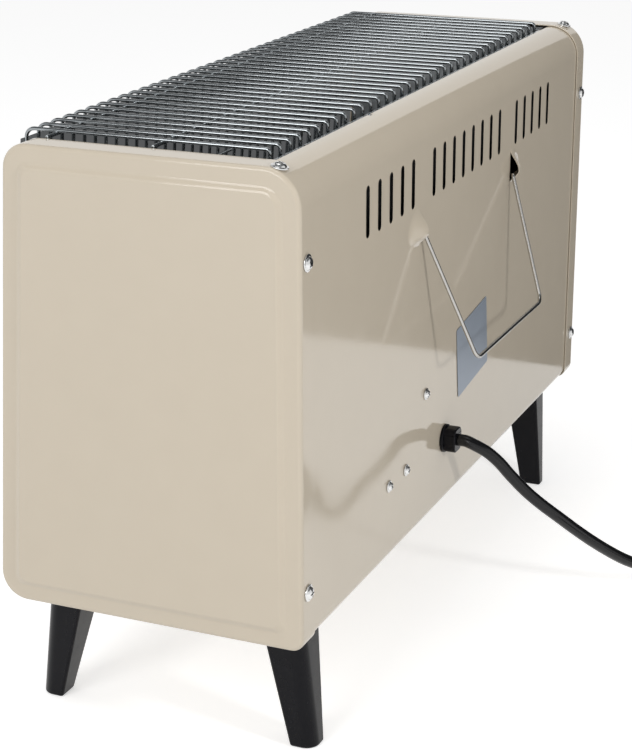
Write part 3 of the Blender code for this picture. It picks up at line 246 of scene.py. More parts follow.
def smooth_between(points, parts):
    """Points of the smooth curve through given ones, without its two end stretches."""
    found = []
    for index in range(1, len(points) - 2):
        before, start, end, after = points[index - 1:index + 3]
        for part in range(parts):
            t = part / parts
            found.append(0.5 * (2 * start + (end - before) * t
                                + (2 * before - 5 * start + 4 * end - after) * t ** 2
                                + (3 * start - before - 3 * end + after) * t ** 3))
    return found + [points[-2]]


def coil_line():
    """The coil's centre line, the way it ends, its middle and the two ways across that."""
    ahead = Vector((cos(COIL_HEADING), sin(COIL_HEADING), 0.0))
    right = Vector((sin(COIL_HEADING), -cos(COIL_HEADING), 0.0))
    start = Vector((COIL_START[0], COIL_START[1] + BACK_Y, CORD / 2 + CORD_FLOOR_GAP))
    centre = start + ahead * CORD + right * COIL_RADIUS
    turns = COIL_TURNS_PER_LAYER
    line = [start]
    for step in range(round((2 * turns + 0.5) * COIL_STEPS) + 1):
        turn = step / COIL_STEPS
        inward = min(turn, turns) - max(turn - turns - 0.5, 0.0)
        rise = min(max((turn - turns) * 2, 0.0), 1.0) * COIL_LAYER
        spoke = -right * cos(2 * pi * turn) + ahead * sin(2 * pi * turn)
        line.append(centre + spoke * (COIL_RADIUS - COIL_PITCH * inward)
                    + Vector((0.0, 0.0, rise)))
    way = line[-1] - line[-2]
    way.z = 0.0
    way.normalize()
    return line + [line[-1] + way * CORD], way, centre, ahead, right


coil, plug_way, coil_centre, coil_ahead, coil_right = coil_line()
exit_point = Vector((GLAND_X, BACK_Y + GLAND_END + CLEARANCE, GLAND_Z))
first_way = (coil[1] - coil[0]).normalized()
free = [exit_point, exit_point + Vector((0.0, CORD * CORD_STRAIGHT, 0.0))]
free += [Vector((x, y + BACK_Y, z)) for x, y, z in CORD_ROUTE]
free += [coil[0] - first_way * CORD, coil[0]]
tail_side = Vector((plug_way.y, -plug_way.x, 0.0))
tail_start = coil[-1]
tail_end = (tail_start + plug_way * TAIL_LENGTH + tail_side * TAIL_SWING
            + Vector((0.0, 0.0, PLUG_DIAMETER / 2 + CLEARANCE - tail_start.z)))
tail = [
    tail_start,
    tail_start + plug_way * CORD,
    tail_start.lerp(tail_end, 0.5) - tail_side * TAIL_SWING * 0.25,
    tail_end - plug_way * CORD,
    tail_end,
]
cord_line = ([exit_point] + smooth_between(free, CORD_PARTS) + coil
             + smooth_between(tail, TAIL_PARTS) + [tail_end])

bpy.ops.curve.primitive_nurbs_path_add()
cord = newest("mains_cord")
cord.data.splines.clear()
strand = cord.data.splines.new('POLY')
strand.points.add(len(cord_line) - 1)
for point, place in zip(strand.points, cord_line):
    point.co = (*place, 1.0)
cord.data.bevel_depth = CORD / 2
cord.data.bevel_resolution = 5
cord.data.use_fill_caps = True
cord.data.resolution_u = 1
cord.data.render_resolution_u = 0
bpy.ops.object.shade_smooth()

cord_material, tree, shader = new_material("black_cord_sheath", {
    "Base Color": (0.005, 0.005, 0.006, 1.0), "Specular IOR Level": 0.35})
smears = add_node(tree, "ShaderNodeTexNoise", {
    "Vector": add_node(tree, "ShaderNodeTexCoord").outputs["Object"], "Scale": 60.0,
    "Detail": 4.0})
dulling = add_node(tree, "ShaderNodeMapRange", {
    "Value": smears.outputs["Fac"], "To Min": 0.16, "To Max": 0.26})
set_inputs(shader, {"Roughness": dulling.outputs["Result"]})
cord.data.materials.append(cord_material)
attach(cord, "casing")
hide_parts("cord_free", "cord_coil", "cord_tail")

# Rear shell
# One enamelled steel sheet folded into the back, the bottom, the top lip and the front strip.
# Slots are punched through its back, and two pockets that hold the bail are pressed out.
SHEET = 0.0010
SHELL_SHEET = 0.0006
HALF = 0.2925
BODY_BASE = 0.089
BODY_TOP = 0.390
BODY_MIDDLE = (BODY_BASE + BODY_TOP) / 2
DEPTH_AT_TOP = 0.195
DEPTH_AT_BOTTOM = 0.214
LEAN = atan2(DEPTH_AT_BOTTOM - DEPTH_AT_TOP, BODY_TOP - BODY_BASE)
SHELL_INSET = SHEET + CLEARANCE
SHELL_END = HALF - 0.006
SHELL_BACK = BACK_Y - SHELL_INSET
RADIUS_BACK_BOTTOM = 0.008
RADIUS_BACK_TOP = 0.024
RADIUS_FRONT_TOP = 0.016
RADIUS_FRONT_BOTTOM = 0.018
LIP_REACH = 0.026
STRIP_TOP = BODY_BASE + 0.052
HEM_DEPTH = 0.012
HEM_BEND = 0.002
BACK_CENTRE_X = -0.0042
POCKET_OFFSET = 0.098
POCKET_LENGTH = 0.022
POCKET_RISE = 0.0072
POCKET_ABOVE = 0.0165
POCKET_BELOW = 0.0105
POCKET_Z = BODY_TOP - 0.083
POCKET_CUTS = 26
POCKET_SOFTNESS = 2.2
SLOT_WIDTH = 0.0062
SLOT_HEIGHT = 0.0332
SLOT_TOP = BODY_TOP - 0.0322
SLOT_PITCH = 0.020
SLOT_GROUPS = (5, 8, 5)
LIP_NOTCH_X = 0.1236
LIP_NOTCH = (0.0055, 0.0022)
SLOT_ROUND = SLOT_WIDTH * 0.48
SLOT_FACETS = 5
BEND_FACETS = 14
SHELL_EDGE = 0.00022
# Corners this close are one, and corners this close to a face are on it
NEAR = 1e-6
ON_FACE = 1e-5


def front_y(height, inset=0.0):
    """Y of the leaning front face at a height, drawn in by an inset."""
    share = (height - BODY_BASE) / (BODY_TOP - BODY_BASE)
    depth = DEPTH_AT_BOTTOM - (DEPTH_AT_BOTTOM - DEPTH_AT_TOP) * share
    return BACK_Y - depth + inset / cos(LEAN)


def take(piece):
    """Make a piece the only one selected, and the active one."""
    bpy.ops.object.select_all(action='DESELECT')
    piece.select_set(True)
    bpy.context.view_layer.objects.active = piece


def join(pieces):
    """Join pieces into the first of them."""
    take(pieces[0])
    for piece in pieces:
        piece.select_set(True)
    if len(pieces) > 1:
        bpy.ops.object.join()
    return pieces[0]


@contextmanager
def editing(piece):
    """Edit mode on a piece with all of it selected, and object mode again afterwards."""
    take(piece)
    bpy.ops.object.mode_set(mode='EDIT')
    bpy.ops.mesh.select_all(action='SELECT')
    yield
    bpy.ops.object.mode_set(mode='OBJECT')


def select_where(piece, kind, wanted):
    """In edit mode, select only the corners, edges or faces for which wanted holds."""
    bpy.ops.mesh.select_mode(type=kind)
    bpy.ops.mesh.select_all(action='DESELECT')
    shape = bmesh.from_edit_mesh(piece.data)
    for item in {'VERT': shape.verts, 'EDGE': shape.edges, 'FACE': shape.faces}[kind]:
        if wanted(item):
            item.select_set(True)
    shape.select_flush_mode()
    bmesh.update_edit_mesh(piece.data)


def runs_along(axis, least):
    """A test for the edges that reach more than a least length along an axis."""
    return lambda edge: abs(edge.verts[0].co[axis] - edge.verts[1].co[axis]) > least


def round_edges(piece, width, facets, wanted):
    """In edit mode, round the edges of a piece for which wanted holds."""
    select_where(piece, 'EDGE', wanted)
    bpy.ops.mesh.bevel(offset=width, segments=facets, profile=0.5, affect='EDGES')


def round_corner(piece, before, corner, after, bend, facets):
    """Round one corner of a flat outline in edit mode to a bend radius."""
    corner = Vector(corner)
    opening = (Vector(before) - corner).angle(Vector(after) - corner)
    select_where(piece, 'VERT', lambda vertex: (vertex.co - corner).length < NEAR)
    bpy.ops.mesh.bevel(offset=bend / tan(opening / 2), segments=facets, profile=0.5,
                       affect='VERTICES', clamp_overlap=False)


def bent_line(name, corners, bends, facets=8, closed=False):
    """An edge line through flat corners, rounded to their bend radii, open or closed.

    On an open line the bends belong to the corners between its two ends.
    """
    count = len(corners)
    bpy.ops.mesh.primitive_circle_add(vertices=count, fill_type='NGON')
    piece = newest(name)
    for vertex, corner in zip(piece.data.vertices, corners):
        vertex.co = corner
    with editing(piece):
        for index, bend in enumerate(bends, 0 if closed else 1):
            if bend > 0:
                round_corner(piece, corners[index - 1], corners[index],
                             corners[(index + 1) % count], bend, facets)
        if closed:
            bpy.ops.mesh.select_all(action='SELECT')
            bpy.ops.mesh.delete(type='ONLY_FACE')
        else:
            ends = (Vector(corners[0]), Vector(corners[-1]))
            select_where(piece, 'EDGE', lambda edge: all(
                min((vertex.co - end).length for end in ends) < NEAR for vertex in edge.verts))
            bpy.ops.mesh.delete(type='EDGE')
    return piece


def at_x(x, places):
    """Corners at one x from pairs of y and z."""
    return [(x, y, z) for y, z in places]


def pull(way):
    """In edit mode, extrude what is selected along a way."""
    bpy.ops.mesh.extrude_region_move(TRANSFORM_OT_translate={"value": way})


def extrude_along(piece, way):
    """Pull all of an edge line out along a way, into a sheet."""
    with editing(piece):
        pull(way)


def face_outward(piece, spot, way):
    """Turn the normals of a sheet so that the face nearest a spot looks along a way."""
    with editing(piece):
        bpy.ops.mesh.normals_make_consistent(inside=False)
        shape = bmesh.from_edit_mesh(piece.data)
        nearest = min(shape.faces,
                      key=lambda face: (face.calc_center_median() - Vector(spot)).length)
        if nearest.normal.dot(Vector(way)) < 0:
            bpy.ops.mesh.flip_normals()


def apply_modifier(piece, kind, **settings):
    """Add a modifier with its settings and apply it."""
    take(piece)
    modifier = piece.modifiers.new(kind.lower(), kind)
    for key, value in settings.items():
        setattr(modifier, key, value)
    bpy.ops.object.modifier_apply(modifier=modifier.name)


def thicken(piece, thickness):
    """Give a sheet its thickness, inward from its faces."""
    apply_modifier(piece, 'SOLIDIFY', thickness=thickness, offset=-1.0, use_even_offset=True)


def soften_edges(piece, width, segments=2, degrees=40):
    """Break the sharp edges of a piece."""
    apply_modifier(piece, 'BEVEL', width=width, segments=segments, limit_method='ANGLE',
                   angle_limit=radians(degrees), use_clamp_overlap=True)


def smooth(piece, degrees):
    """Smooth shading between the edges that turn more than some degrees."""
    take(piece)
    bpy.ops.object.shade_smooth_by_angle(angle=radians(degrees))


def shade(piece, degrees=35):
    """Smooth shading between sharp edges, with the flat faces kept flat."""
    smooth(piece, degrees)
    apply_modifier(piece, 'WEIGHTED_NORMAL', mode='FACE_AREA', keep_sharp=True, weight=50)


def dress(piece, material, slot, *nodes, body="casing"):
    """Give a piece its material and its body, and the nodes it stands for. The slot is not used."""
    piece.data.materials.clear()
    piece.data.materials.append(material)
    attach(piece, body)
    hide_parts(*nodes)


def cut(piece, cutters):
    """Cut some shapes out of a piece and remove them."""
    cutter = join(cutters)
    apply_modifier(piece, 'BOOLEAN', operation='DIFFERENCE', solver='EXACT', object=cutter)
    bpy.data.objects.remove(cutter)


def add_block(name, low, high):
    """A box between two opposite corners, its place in its mesh."""
    low, high = Vector(low), Vector(high)
    bpy.ops.mesh.primitive_cube_add(size=1.0, location=(low + high) / 2)
    piece = newest(name)
    piece.scale = high - low
    bpy.ops.object.transform_apply(location=True, rotation=True, scale=True)
    return piece


strip_y = front_y(STRIP_TOP, SHELL_INSET)
shell = bent_line("shell_sheet", at_x(-SHELL_END, (
    (strip_y + HEM_DEPTH, STRIP_TOP),
    (strip_y, STRIP_TOP),
    (front_y(BODY_BASE + SHELL_INSET, SHELL_INSET), BODY_BASE + SHELL_INSET),
    (SHELL_BACK, BODY_BASE + SHELL_INSET),
    (SHELL_BACK, BODY_TOP - SHELL_INSET),
    (BACK_Y - LIP_REACH, BODY_TOP - SHELL_INSET),
)), (HEM_BEND, RADIUS_FRONT_BOTTOM - SHELL_INSET, RADIUS_BACK_BOTTOM - SHELL_INSET,
     RADIUS_BACK_TOP - SHELL_INSET), facets=BEND_FACETS)
extrude_along(shell, (2 * SHELL_END, 0.0, 0.0))
face_outward(shell, (0.0, SHELL_BACK, BODY_MIDDLE), (0.0, 1.0, 0.0))


def press_pocket(piece, side):
    """Slit the back beside a pocket and press its half dome out of the sheet."""
    opening = BACK_CENTRE_X + side * POCKET_OFFSET
    far = opening + side * POCKET_LENGTH
    low, high = POCKET_Z - POCKET_BELOW, POCKET_Z + POCKET_ABOVE
    middle = Vector(((opening + far) / 2, SHELL_BACK, (low + high) / 2))

    def holds_middle(face):
        reach = [(min(v.co[axis] for v in face.verts), max(v.co[axis] for v in face.verts))
                 for axis in range(3)]
        return all(least - NEAR <= middle[axis] <= most + NEAR
                   for axis, (least, most) in enumerate(reach))

    def in_pocket(face):
        spot = face.calc_center_median()
        return (abs(spot.y - SHELL_BACK) < NEAR and low < spot.z < high
                and min(opening, far) < spot.x < max(opening, far))

    for spot, way in (((opening, 0, 0), (1, 0, 0)), ((far, 0, 0), (1, 0, 0)),
                      ((0, 0, low), (0, 0, 1)), ((0, 0, high), (0, 0, 1))):
        select_where(piece, 'FACE', holds_middle)
        bpy.ops.mesh.bisect(plane_co=spot, plane_no=way)
    select_where(piece, 'FACE', holds_middle)
    bpy.ops.mesh.subdivide(number_cuts=POCKET_CUTS)
    select_where(piece, 'EDGE', lambda edge: all(
        abs(vertex.co.x - opening) < NEAR and abs(vertex.co.y - SHELL_BACK) < NEAR
        and low - NEAR < vertex.co.z < high + NEAR for vertex in edge.verts))
    bpy.ops.mesh.edge_split(type='EDGE')
    select_where(piece, 'FACE', in_pocket)
    shape = bmesh.from_edit_mesh(piece.data)
    for vertex in (v for v in shape.verts if v.select):
        along = abs(vertex.co.x - opening) / POCKET_LENGTH
        rise = vertex.co.z - POCKET_Z
        across = rise / (POCKET_ABOVE if rise > 0 else POCKET_BELOW)
        room = max(1.0 - along ** 2 - across ** 2, 0.0)
        vertex.co.y += POCKET_RISE * room ** POCKET_SOFTNESS
    bmesh.update_edit_mesh(piece.data)


with editing(shell):
    for side in (1, -1):
        press_pocket(shell, side)
thicken(shell, SHELL_SHEET)

slot_punch = add_block("slot_punch",
                       (-SLOT_WIDTH / 2, SHELL_BACK - 3 * SHEET, SLOT_TOP - SLOT_HEIGHT),
                       (SLOT_WIDTH / 2, SHELL_BACK + SHEET, SLOT_TOP))
with editing(slot_punch):
    round_edges(slot_punch, SLOT_ROUND, SLOT_FACETS, runs_along(1, SHEET))


def moved_copy(piece, name, placing):
    """A copy of a piece carried by a placing, with its own mesh."""
    other = piece.copy()
    other.data = piece.data.copy()
    other.data.transform(placing)
    other.name = name
    bpy.context.collection.objects.link(other)
    return other


def remove_patterns(*patterns):
    """Remove the pieces that were only there to be copied."""
    for pattern in patterns:
        bpy.data.objects.remove(pattern)


# One place between two groups stays empty
punches = []
first_place = -(sum(SLOT_GROUPS) + len(SLOT_GROUPS) - 2) / 2
for count in SLOT_GROUPS:
    for place in range(count):
        across = BACK_CENTRE_X + (first_place + place) * SLOT_PITCH
        punches.append(moved_copy(slot_punch, "slot_punch",
                                  Matrix.Translation((across, 0.0, 0.0))))
    first_place += count + 1
remove_patterns(slot_punch)
punches.append(add_block(
    "lip_notch",
    (LIP_NOTCH_X - LIP_NOTCH[0] / 2, BACK_Y - LIP_REACH - SHEET, BODY_TOP - 4 * SHEET),
    (LIP_NOTCH_X + LIP_NOTCH[0] / 2, BACK_Y - LIP_REACH + LIP_NOTCH[1], BODY_TOP + SHEET)))
cut(shell, punches)
soften_edges(shell, SHELL_EDGE)
shade(shell)


BROAD_NOISE_SCALE = 0.16


def make_skin_group():
    """Small changes of tone, gloss and height over a surface, at a size that each finish sets."""
    group = bpy.data.node_groups.new("surface_skin", 'ShaderNodeTree')
    for label, way, kind in (
            ("Scale", 'INPUT', 'Float'), ("Dark", 'INPUT', 'Color'), ("Light", 'INPUT', 'Color'),
            ("Gloss Low", 'INPUT', 'Float'), ("Gloss High", 'INPUT', 'Float'),
            ("Color", 'OUTPUT', 'Color'), ("Roughness", 'OUTPUT', 'Float'),
            ("Height", 'OUTPUT', 'Float')):
        group.interface.new_socket(name=label, in_out=way, socket_type="NodeSocket" + kind)
    given = add_node(group, "NodeGroupInput").outputs
    place = add_node(group, "ShaderNodeTexCoord").outputs["Object"]
    fine = add_node(group, "ShaderNodeTexNoise", {
        "Vector": place, "Scale": given["Scale"], "Detail": 3.0})
    broad = add_node(group, "ShaderNodeTexNoise", {
        "Vector": place, "Scale": calculate(group, 'MULTIPLY', given["Scale"], BROAD_NOISE_SCALE),
        "Detail": 4.0})
    tone = add_node(group, "ShaderNodeMix", data_type='RGBA', inputs={
        "Factor": broad.outputs["Fac"], "A": given["Dark"], "B": given["Light"]})
    gloss = add_node(group, "ShaderNodeMapRange", {
        "Value": broad.outputs["Fac"], "From Min": 0.3, "From Max": 0.7,
        "To Min": given["Gloss Low"], "To Max": given["Gloss High"]})
    add_node(group, "NodeGroupOutput", {
        "Color": tone.outputs["Result"], "Roughness": gloss.outputs["Result"],
        "Height": fine.outputs["Fac"]})
    return group


skin_group = make_skin_group()


def add_skin(tree, dark, light, scale, gloss):
    """The skin group in a material, with its two tones, its scale and its span of gloss."""
    return add_node(tree, "ShaderNodeGroup", node_tree=skin_group, inputs={
        "Dark": (*dark, 1.0), "Light": (*light, 1.0), "Scale": scale,
        "Gloss Low": gloss[0], "Gloss High": gloss[1]})


def finish_with_skin(name, dark, light, scale, gloss, bump, metallic=0.0, specular=0.5):
    """A material whose tone, gloss and small bumps come from the skin group."""
    material, tree, shader = new_material(name)
    skin = add_skin(tree, dark, light, scale, gloss)
    relief = add_node(tree, "ShaderNodeBump", {
        "Strength": bump[0], "Distance": bump[1], "Height": skin.outputs["Height"]})
    set_inputs(shader, {
        "Base Color": skin.outputs["Color"], "Roughness": skin.outputs["Roughness"],
        "Normal": relief.outputs["Normal"], "Metallic": metallic,
        "Specular IOR Level": specular})
    return material


enamel = finish_with_skin("cream_enamel", (0.625, 0.550, 0.440), (0.650, 0.574, 0.462), 260.0,
                          (0.06, 0.11), (0.04, 0.0002), specular=0.38)
# On the shell, the walls of the punched slots are coloured near black: painted shade of the dark
# inside behind them
SLOT_WALL_PAINTED_SHADE = (0.012, 0.011, 0.010, 1.0)
shell_enamel = enamel.copy()
shell_enamel.name = "cream_enamel_shaded_slots"
tree = shell_enamel.node_tree
shader = tree.nodes["Principled BSDF"]
spot = add_node(tree, "ShaderNodeSeparateXYZ", {
    "Vector": add_node(tree, "ShaderNodeTexCoord").outputs["Object"]}).outputs
in_wall = calculate(tree, 'COMPARE', spot["Y"], SHELL_BACK - SHELL_SHEET, SHELL_SHEET * 0.7)
in_row = calculate(tree, 'COMPARE', spot["Z"], SLOT_TOP - SLOT_HEIGHT / 2,
                   SLOT_HEIGHT / 2 + SHEET)
# Painted shade: the slot walls get a near-black colour in place of the cream enamel
slot_wall_shade = add_node(tree, "ShaderNodeMix", data_type='RGBA', inputs={
    "Factor": calculate(tree, 'MULTIPLY', in_wall, in_row),
    "A": shader.inputs["Base Color"].links[0].from_socket, "B": SLOT_WALL_PAINTED_SHADE})
set_inputs(shader, {"Base Color": slot_wall_shade.outputs["Result"]})
dress(shell, shell_enamel, "enamel", "rear_shell")

# End caps
# Each is a tray pressed from enamelled sheet: a flange that laps the shell, a tight fold, a flat
# border, a step and a raised panel. Three screws hold each flange.
FLANGE_EDGE = HALF - 0.020
CAP_FOLD = 0.003
CAP_STEP_INSET = 0.0105
CAP_STEP_WIDTH = 0.005
CAP_PANEL_RISE = 0.002
CAP_STEP_BEND = 0.006
CAP_FACETS = 12
CAP_FOLD_STEPS = 6
CAP_STEP_STEPS = 8
CAP_EDGE = 0.0004


def outline_ring(x, inset):
    """Points round the body's side outline at an x, drawn in by an inset."""
    low, high = BODY_BASE + inset, BODY_TOP - inset
    corners = [Vector(corner) for corner in (
        (x, front_y(low, inset), low), (x, BACK_Y - inset, low),
        (x, BACK_Y - inset, high), (x, front_y(high, inset), high))]
    radii = (RADIUS_FRONT_BOTTOM, RADIUS_BACK_BOTTOM, RADIUS_BACK_TOP, RADIUS_FRONT_TOP)
    points = []
    for index, radius in enumerate(radii):
        corner = corners[index]
        back = (corners[index - 1] - corner).normalized()
        ahead = (corners[(index + 1) % 4] - corner).normalized()
        bend = max(radius - inset, CAP_STEP_BEND)
        half = back.angle(ahead) / 2
        centre = corner + (back + ahead).normalized() * bend / sin(half)
        spoke = corner + back * bend / tan(half) - centre
        axis = ahead.cross(back)
        for step in range(CAP_FACETS + 1):
            turn = (pi - 2 * half) * step / CAP_FACETS
            points.append(centre + Matrix.Rotation(turn, 3, axis) @ spoke)
    return points


cap_rings = [(FLANGE_EDGE, 0.0), (HALF - CAP_FOLD, 0.0)]
for step in range(1, CAP_FOLD_STEPS + 1):
    turn = pi / 2 * step / CAP_FOLD_STEPS
    cap_rings.append((HALF - CAP_FOLD + CAP_FOLD * sin(turn), CAP_FOLD * (1 - cos(turn))))
for step in range(CAP_STEP_STEPS + 1):
    share = step / CAP_STEP_STEPS
    cap_rings.append((HALF + CAP_PANEL_RISE * share ** 2 * (3 - 2 * share),
                      CAP_STEP_INSET + CAP_STEP_WIDTH * share))
bpy.ops.mesh.primitive_circle_add(vertices=4 * (CAP_FACETS + 1))
cap_right = newest("cap_tray_right")
seats = cap_right.data.attributes.new("seat", 'INT', 'POINT')
for index, point in enumerate(outline_ring(*cap_rings[0])):
    cap_right.data.vertices[index].co = point
    seats.data[index].value = index
with editing(cap_right):
    for x, inset in cap_rings[1:]:
        bpy.ops.mesh.extrude_edges_move()
        ring = outline_ring(x, inset)
        shape = bmesh.from_edit_mesh(cap_right.data)
        seat = shape.verts.layers.int["seat"]
        for vertex in shape.verts:
            if vertex.select:
                vertex.co = ring[vertex[seat]]
        bmesh.update_edit_mesh(cap_right.data)
    bpy.ops.mesh.edge_face_add()
cap_right.data.attributes.remove(cap_right.data.attributes["seat"])
face_outward(cap_right, (HALF + CAP_PANEL_RISE, 0.0, BODY_MIDDLE), (1.0, 0.0, 0.0))
thicken(cap_right, SHEET)
soften_edges(cap_right, CAP_EDGE, degrees=60)
shade(cap_right)


def mirrored_copy(piece, name):
    """A copy of a piece on the other side of the middle, with its own mesh."""
    take(piece)
    bpy.ops.object.duplicate()
    other = newest(name)
    with editing(other):
        bpy.ops.transform.resize(value=(-1.0, 1.0, 1.0), center_override=(0.0, 0.0, 0.0))
        bpy.ops.mesh.flip_normals()
    shade(other)
    return other


cap_left = mirrored_copy(cap_right, "cap_tray_left")
dress(cap_right, enamel, "enamel", "end_cap_right")
dress(cap_left, enamel, "enamel", "end_cap_left")

# Side plates and heat shield
# The plates of plain galvanised sheet close the trough at its ends and carry the tubes. The shield
# keeps the heat off the back; its near-black tone is painted shade, so that the slots look into the
# dark.
galvanised = finish_with_skin("galvanised_sheet", (0.42, 0.44, 0.46), (0.60, 0.62, 0.63), 160.0,
                              (0.32, 0.48), (0.08, 0.0002), metallic=1.0)


def paint(material, *names):
    """Give CAD nodes a material."""
    for name in names:
        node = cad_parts[name]
        for material_slot in node.material_slots:
            material_slot.material = material


# Near black: painted shade for the dark inside seen through the slots
shield_painted_shade = finish_with_skin("shield_sheet_painted_shade", (0.020, 0.020, 0.022), (0.035, 0.035, 0.038), 160.0,
                         (0.50, 0.65), (0.08, 0.0002), metallic=0.3)
paint(galvanised, "side_plate_right", "side_plate_left")
paint(shield_painted_shade, "heat_shield")

# Reflector
# A trough of polished aluminium sheet behind the tubes. Its top flange goes under the lip, where
# it mirrors the hooks of the grille, and its toe goes under the hem of the front strip.
REFLECTOR_SHEET = 0.0006
REFLECTOR_FLANGE_BACK = 0.024
REFLECTOR_LOWER_DEPTH = 0.052
REFLECTOR_TROUGH_RADIUS = 0.090
REFLECTOR_FOOT = 0.007
TROUGH_FACETS = 24
PLATE_INNER = FLANGE_EDGE + 0.001
WIRE = 0.0024
WIRE_HOOK_Y = BACK_Y - 0.0338

reflector_end = PLATE_INNER - CLEARANCE
reflector_top = BODY_TOP - SHELL_INSET - SHEET - CLEARANCE
reflector_low = STRIP_TOP - SHEET - CLEARANCE
reflector = bent_line("reflector_trough", at_x(-reflector_end, (
    (BACK_Y - REFLECTOR_FLANGE_BACK, reflector_top),
    (WIRE_HOOK_Y + WIRE / 2 + CLEARANCE + 2 * REFLECTOR_SHEET, reflector_top),
    (BACK_Y - REFLECTOR_LOWER_DEPTH, reflector_low),
    (front_y(STRIP_TOP, SHELL_INSET + HEM_DEPTH) - REFLECTOR_FOOT, reflector_low),
)), (REFLECTOR_SHEET * 2, REFLECTOR_TROUGH_RADIUS), facets=TROUGH_FACETS)
extrude_along(reflector, (2 * reflector_end, 0.0, 0.0))
face_outward(reflector, (0.0, BACK_Y - REFLECTOR_LOWER_DEPTH, BODY_MIDDLE), (0.0, -1.0, 0.3))
thicken(reflector, REFLECTOR_SHEET)
shade(reflector)
# Its dark grey tone is painted shade of the dim inside; polished aluminium itself is far brighter
polished = finish_with_skin("polished_aluminium", (0.30, 0.31, 0.32), (0.38, 0.39, 0.40), 220.0,
                            (0.10, 0.18), (0.03, 0.0002), metallic=1.0)
dress(reflector, polished, "polished", "reflector")

# Quartz tubes, heating wires and ceramic holders
# Three frosted quartz tubes lie across the trough. A coil of resistance wire runs in each, and
# turned ceramic holders in the side plates carry their ends.
TUBE_COUNT = 3
TUBE_RADIUS = 0.006
TUBE_WALL = 0.0012
TUBE_EDGE = 0.0004
TUBE_TOP_DROP = 0.070
TUBE_PITCH = 0.062
TUBE_DEPTH = 0.105
COIL_WIRE_RADIUS = 0.00035
COIL_HELIX_RADIUS = 0.0027
COIL_HELIX_PITCH = 0.0024
LEAD_RADIUS = 0.0010
LEAD_END_ROUND = 0.0002
WIRE_SHADE = 50
CERAMIC_FLANGE_RADIUS = 0.012
CERAMIC_FLANGE = 0.005
CERAMIC_NECK_RADIUS = 0.00875
CERAMIC_NECK = 0.011
CERAMIC_SEAT = 0.012

tube_places = [(BACK_Y - TUBE_DEPTH - number * TUBE_PITCH * tan(LEAN),
                BODY_TOP - TUBE_TOP_DROP - number * TUBE_PITCH) for number in range(TUBE_COUNT)]
seat_face = PLATE_INNER - CLEARANCE - CERAMIC_FLANGE
tube_end = seat_face + CERAMIC_SEAT - CLEARANCE
lead_end = seat_face + CERAMIC_FLANGE + CERAMIC_NECK
wound_end = seat_face - CERAMIC_FLANGE


def close_seams():
    """In edit mode, merge the corners that meet, and turn the normals outward."""
    bpy.ops.mesh.select_all(action='SELECT')
    bpy.ops.mesh.remove_doubles(threshold=NEAR)
    bpy.ops.mesh.normals_make_consistent(inside=False)


def turned(name, axis, profile, bends, facets, steps, closed=False):
    """A solid turned round an axis, from pairs of a place along it and a reach from it."""
    corners = [(along, 0.0, out) if axis == 'X' else (out, 0.0, along) for along, out in profile]
    piece = bent_line(name, corners, bends, facets, closed)
    with editing(piece):
        bpy.ops.mesh.spin(steps=steps, angle=2 * pi, center=(0.0, 0.0, 0.0),
                          axis=(1.0, 0.0, 0.0) if axis == 'X' else (0.0, 0.0, 1.0))
        close_seams()
    return piece


tube = turned("quartz_pattern", 'X', (
    (-tube_end, TUBE_RADIUS), (tube_end, TUBE_RADIUS),
    (tube_end, TUBE_RADIUS - TUBE_WALL), (-tube_end, TUBE_RADIUS - TUBE_WALL),
), (TUBE_EDGE,) * 4, facets=3, steps=32, closed=True)
shade(tube)

bpy.ops.mesh.primitive_circle_add(vertices=6, radius=COIL_WIRE_RADIUS,
                                  location=(-wound_end, 0.0, COIL_HELIX_RADIUS),
                                  rotation=(pi / 2, 0.0, 0.0))
helix = bpy.context.object
bpy.ops.object.transform_apply(location=True, rotation=True, scale=True)
apply_modifier(helix, 'SCREW', axis='X', angle=2 * pi, screw_offset=COIL_HELIX_PITCH,
               iterations=int(2 * wound_end / COIL_HELIX_PITCH), steps=10, render_steps=10,
               use_merge_vertices=True)
leads = [turned("lead_wire", 'X', (
    (side * (wound_end - COIL_HELIX_PITCH), 0.0),
    (side * (wound_end - COIL_HELIX_PITCH), LEAD_RADIUS),
    (side * lead_end, LEAD_RADIUS), (side * lead_end, 0.0),
), (0.0, LEAD_END_ROUND), facets=2, steps=12) for side in (-1, 1)]
join([helix] + leads)
with editing(helix):
    close_seams()
smooth(helix, WIRE_SHADE)

neck_end = CERAMIC_FLANGE + CERAMIC_NECK
holder = turned("holder_pattern", 'X', (
    (0.0, CERAMIC_FLANGE_RADIUS), (CERAMIC_FLANGE, CERAMIC_FLANGE_RADIUS),
    (CERAMIC_FLANGE, CERAMIC_NECK_RADIUS), (neck_end, CERAMIC_NECK_RADIUS),
    (neck_end, LEAD_RADIUS + CLEARANCE), (CERAMIC_SEAT, LEAD_RADIUS + CLEARANCE),
    (CERAMIC_SEAT, TUBE_RADIUS + CLEARANCE), (0.0, TUBE_RADIUS + CLEARANCE),
), (0.0012, 0.0008, 0.0, 0.0010, 0.0, 0.0, 0.0, 0.0006), facets=3, steps=48, closed=True)
shade(holder)

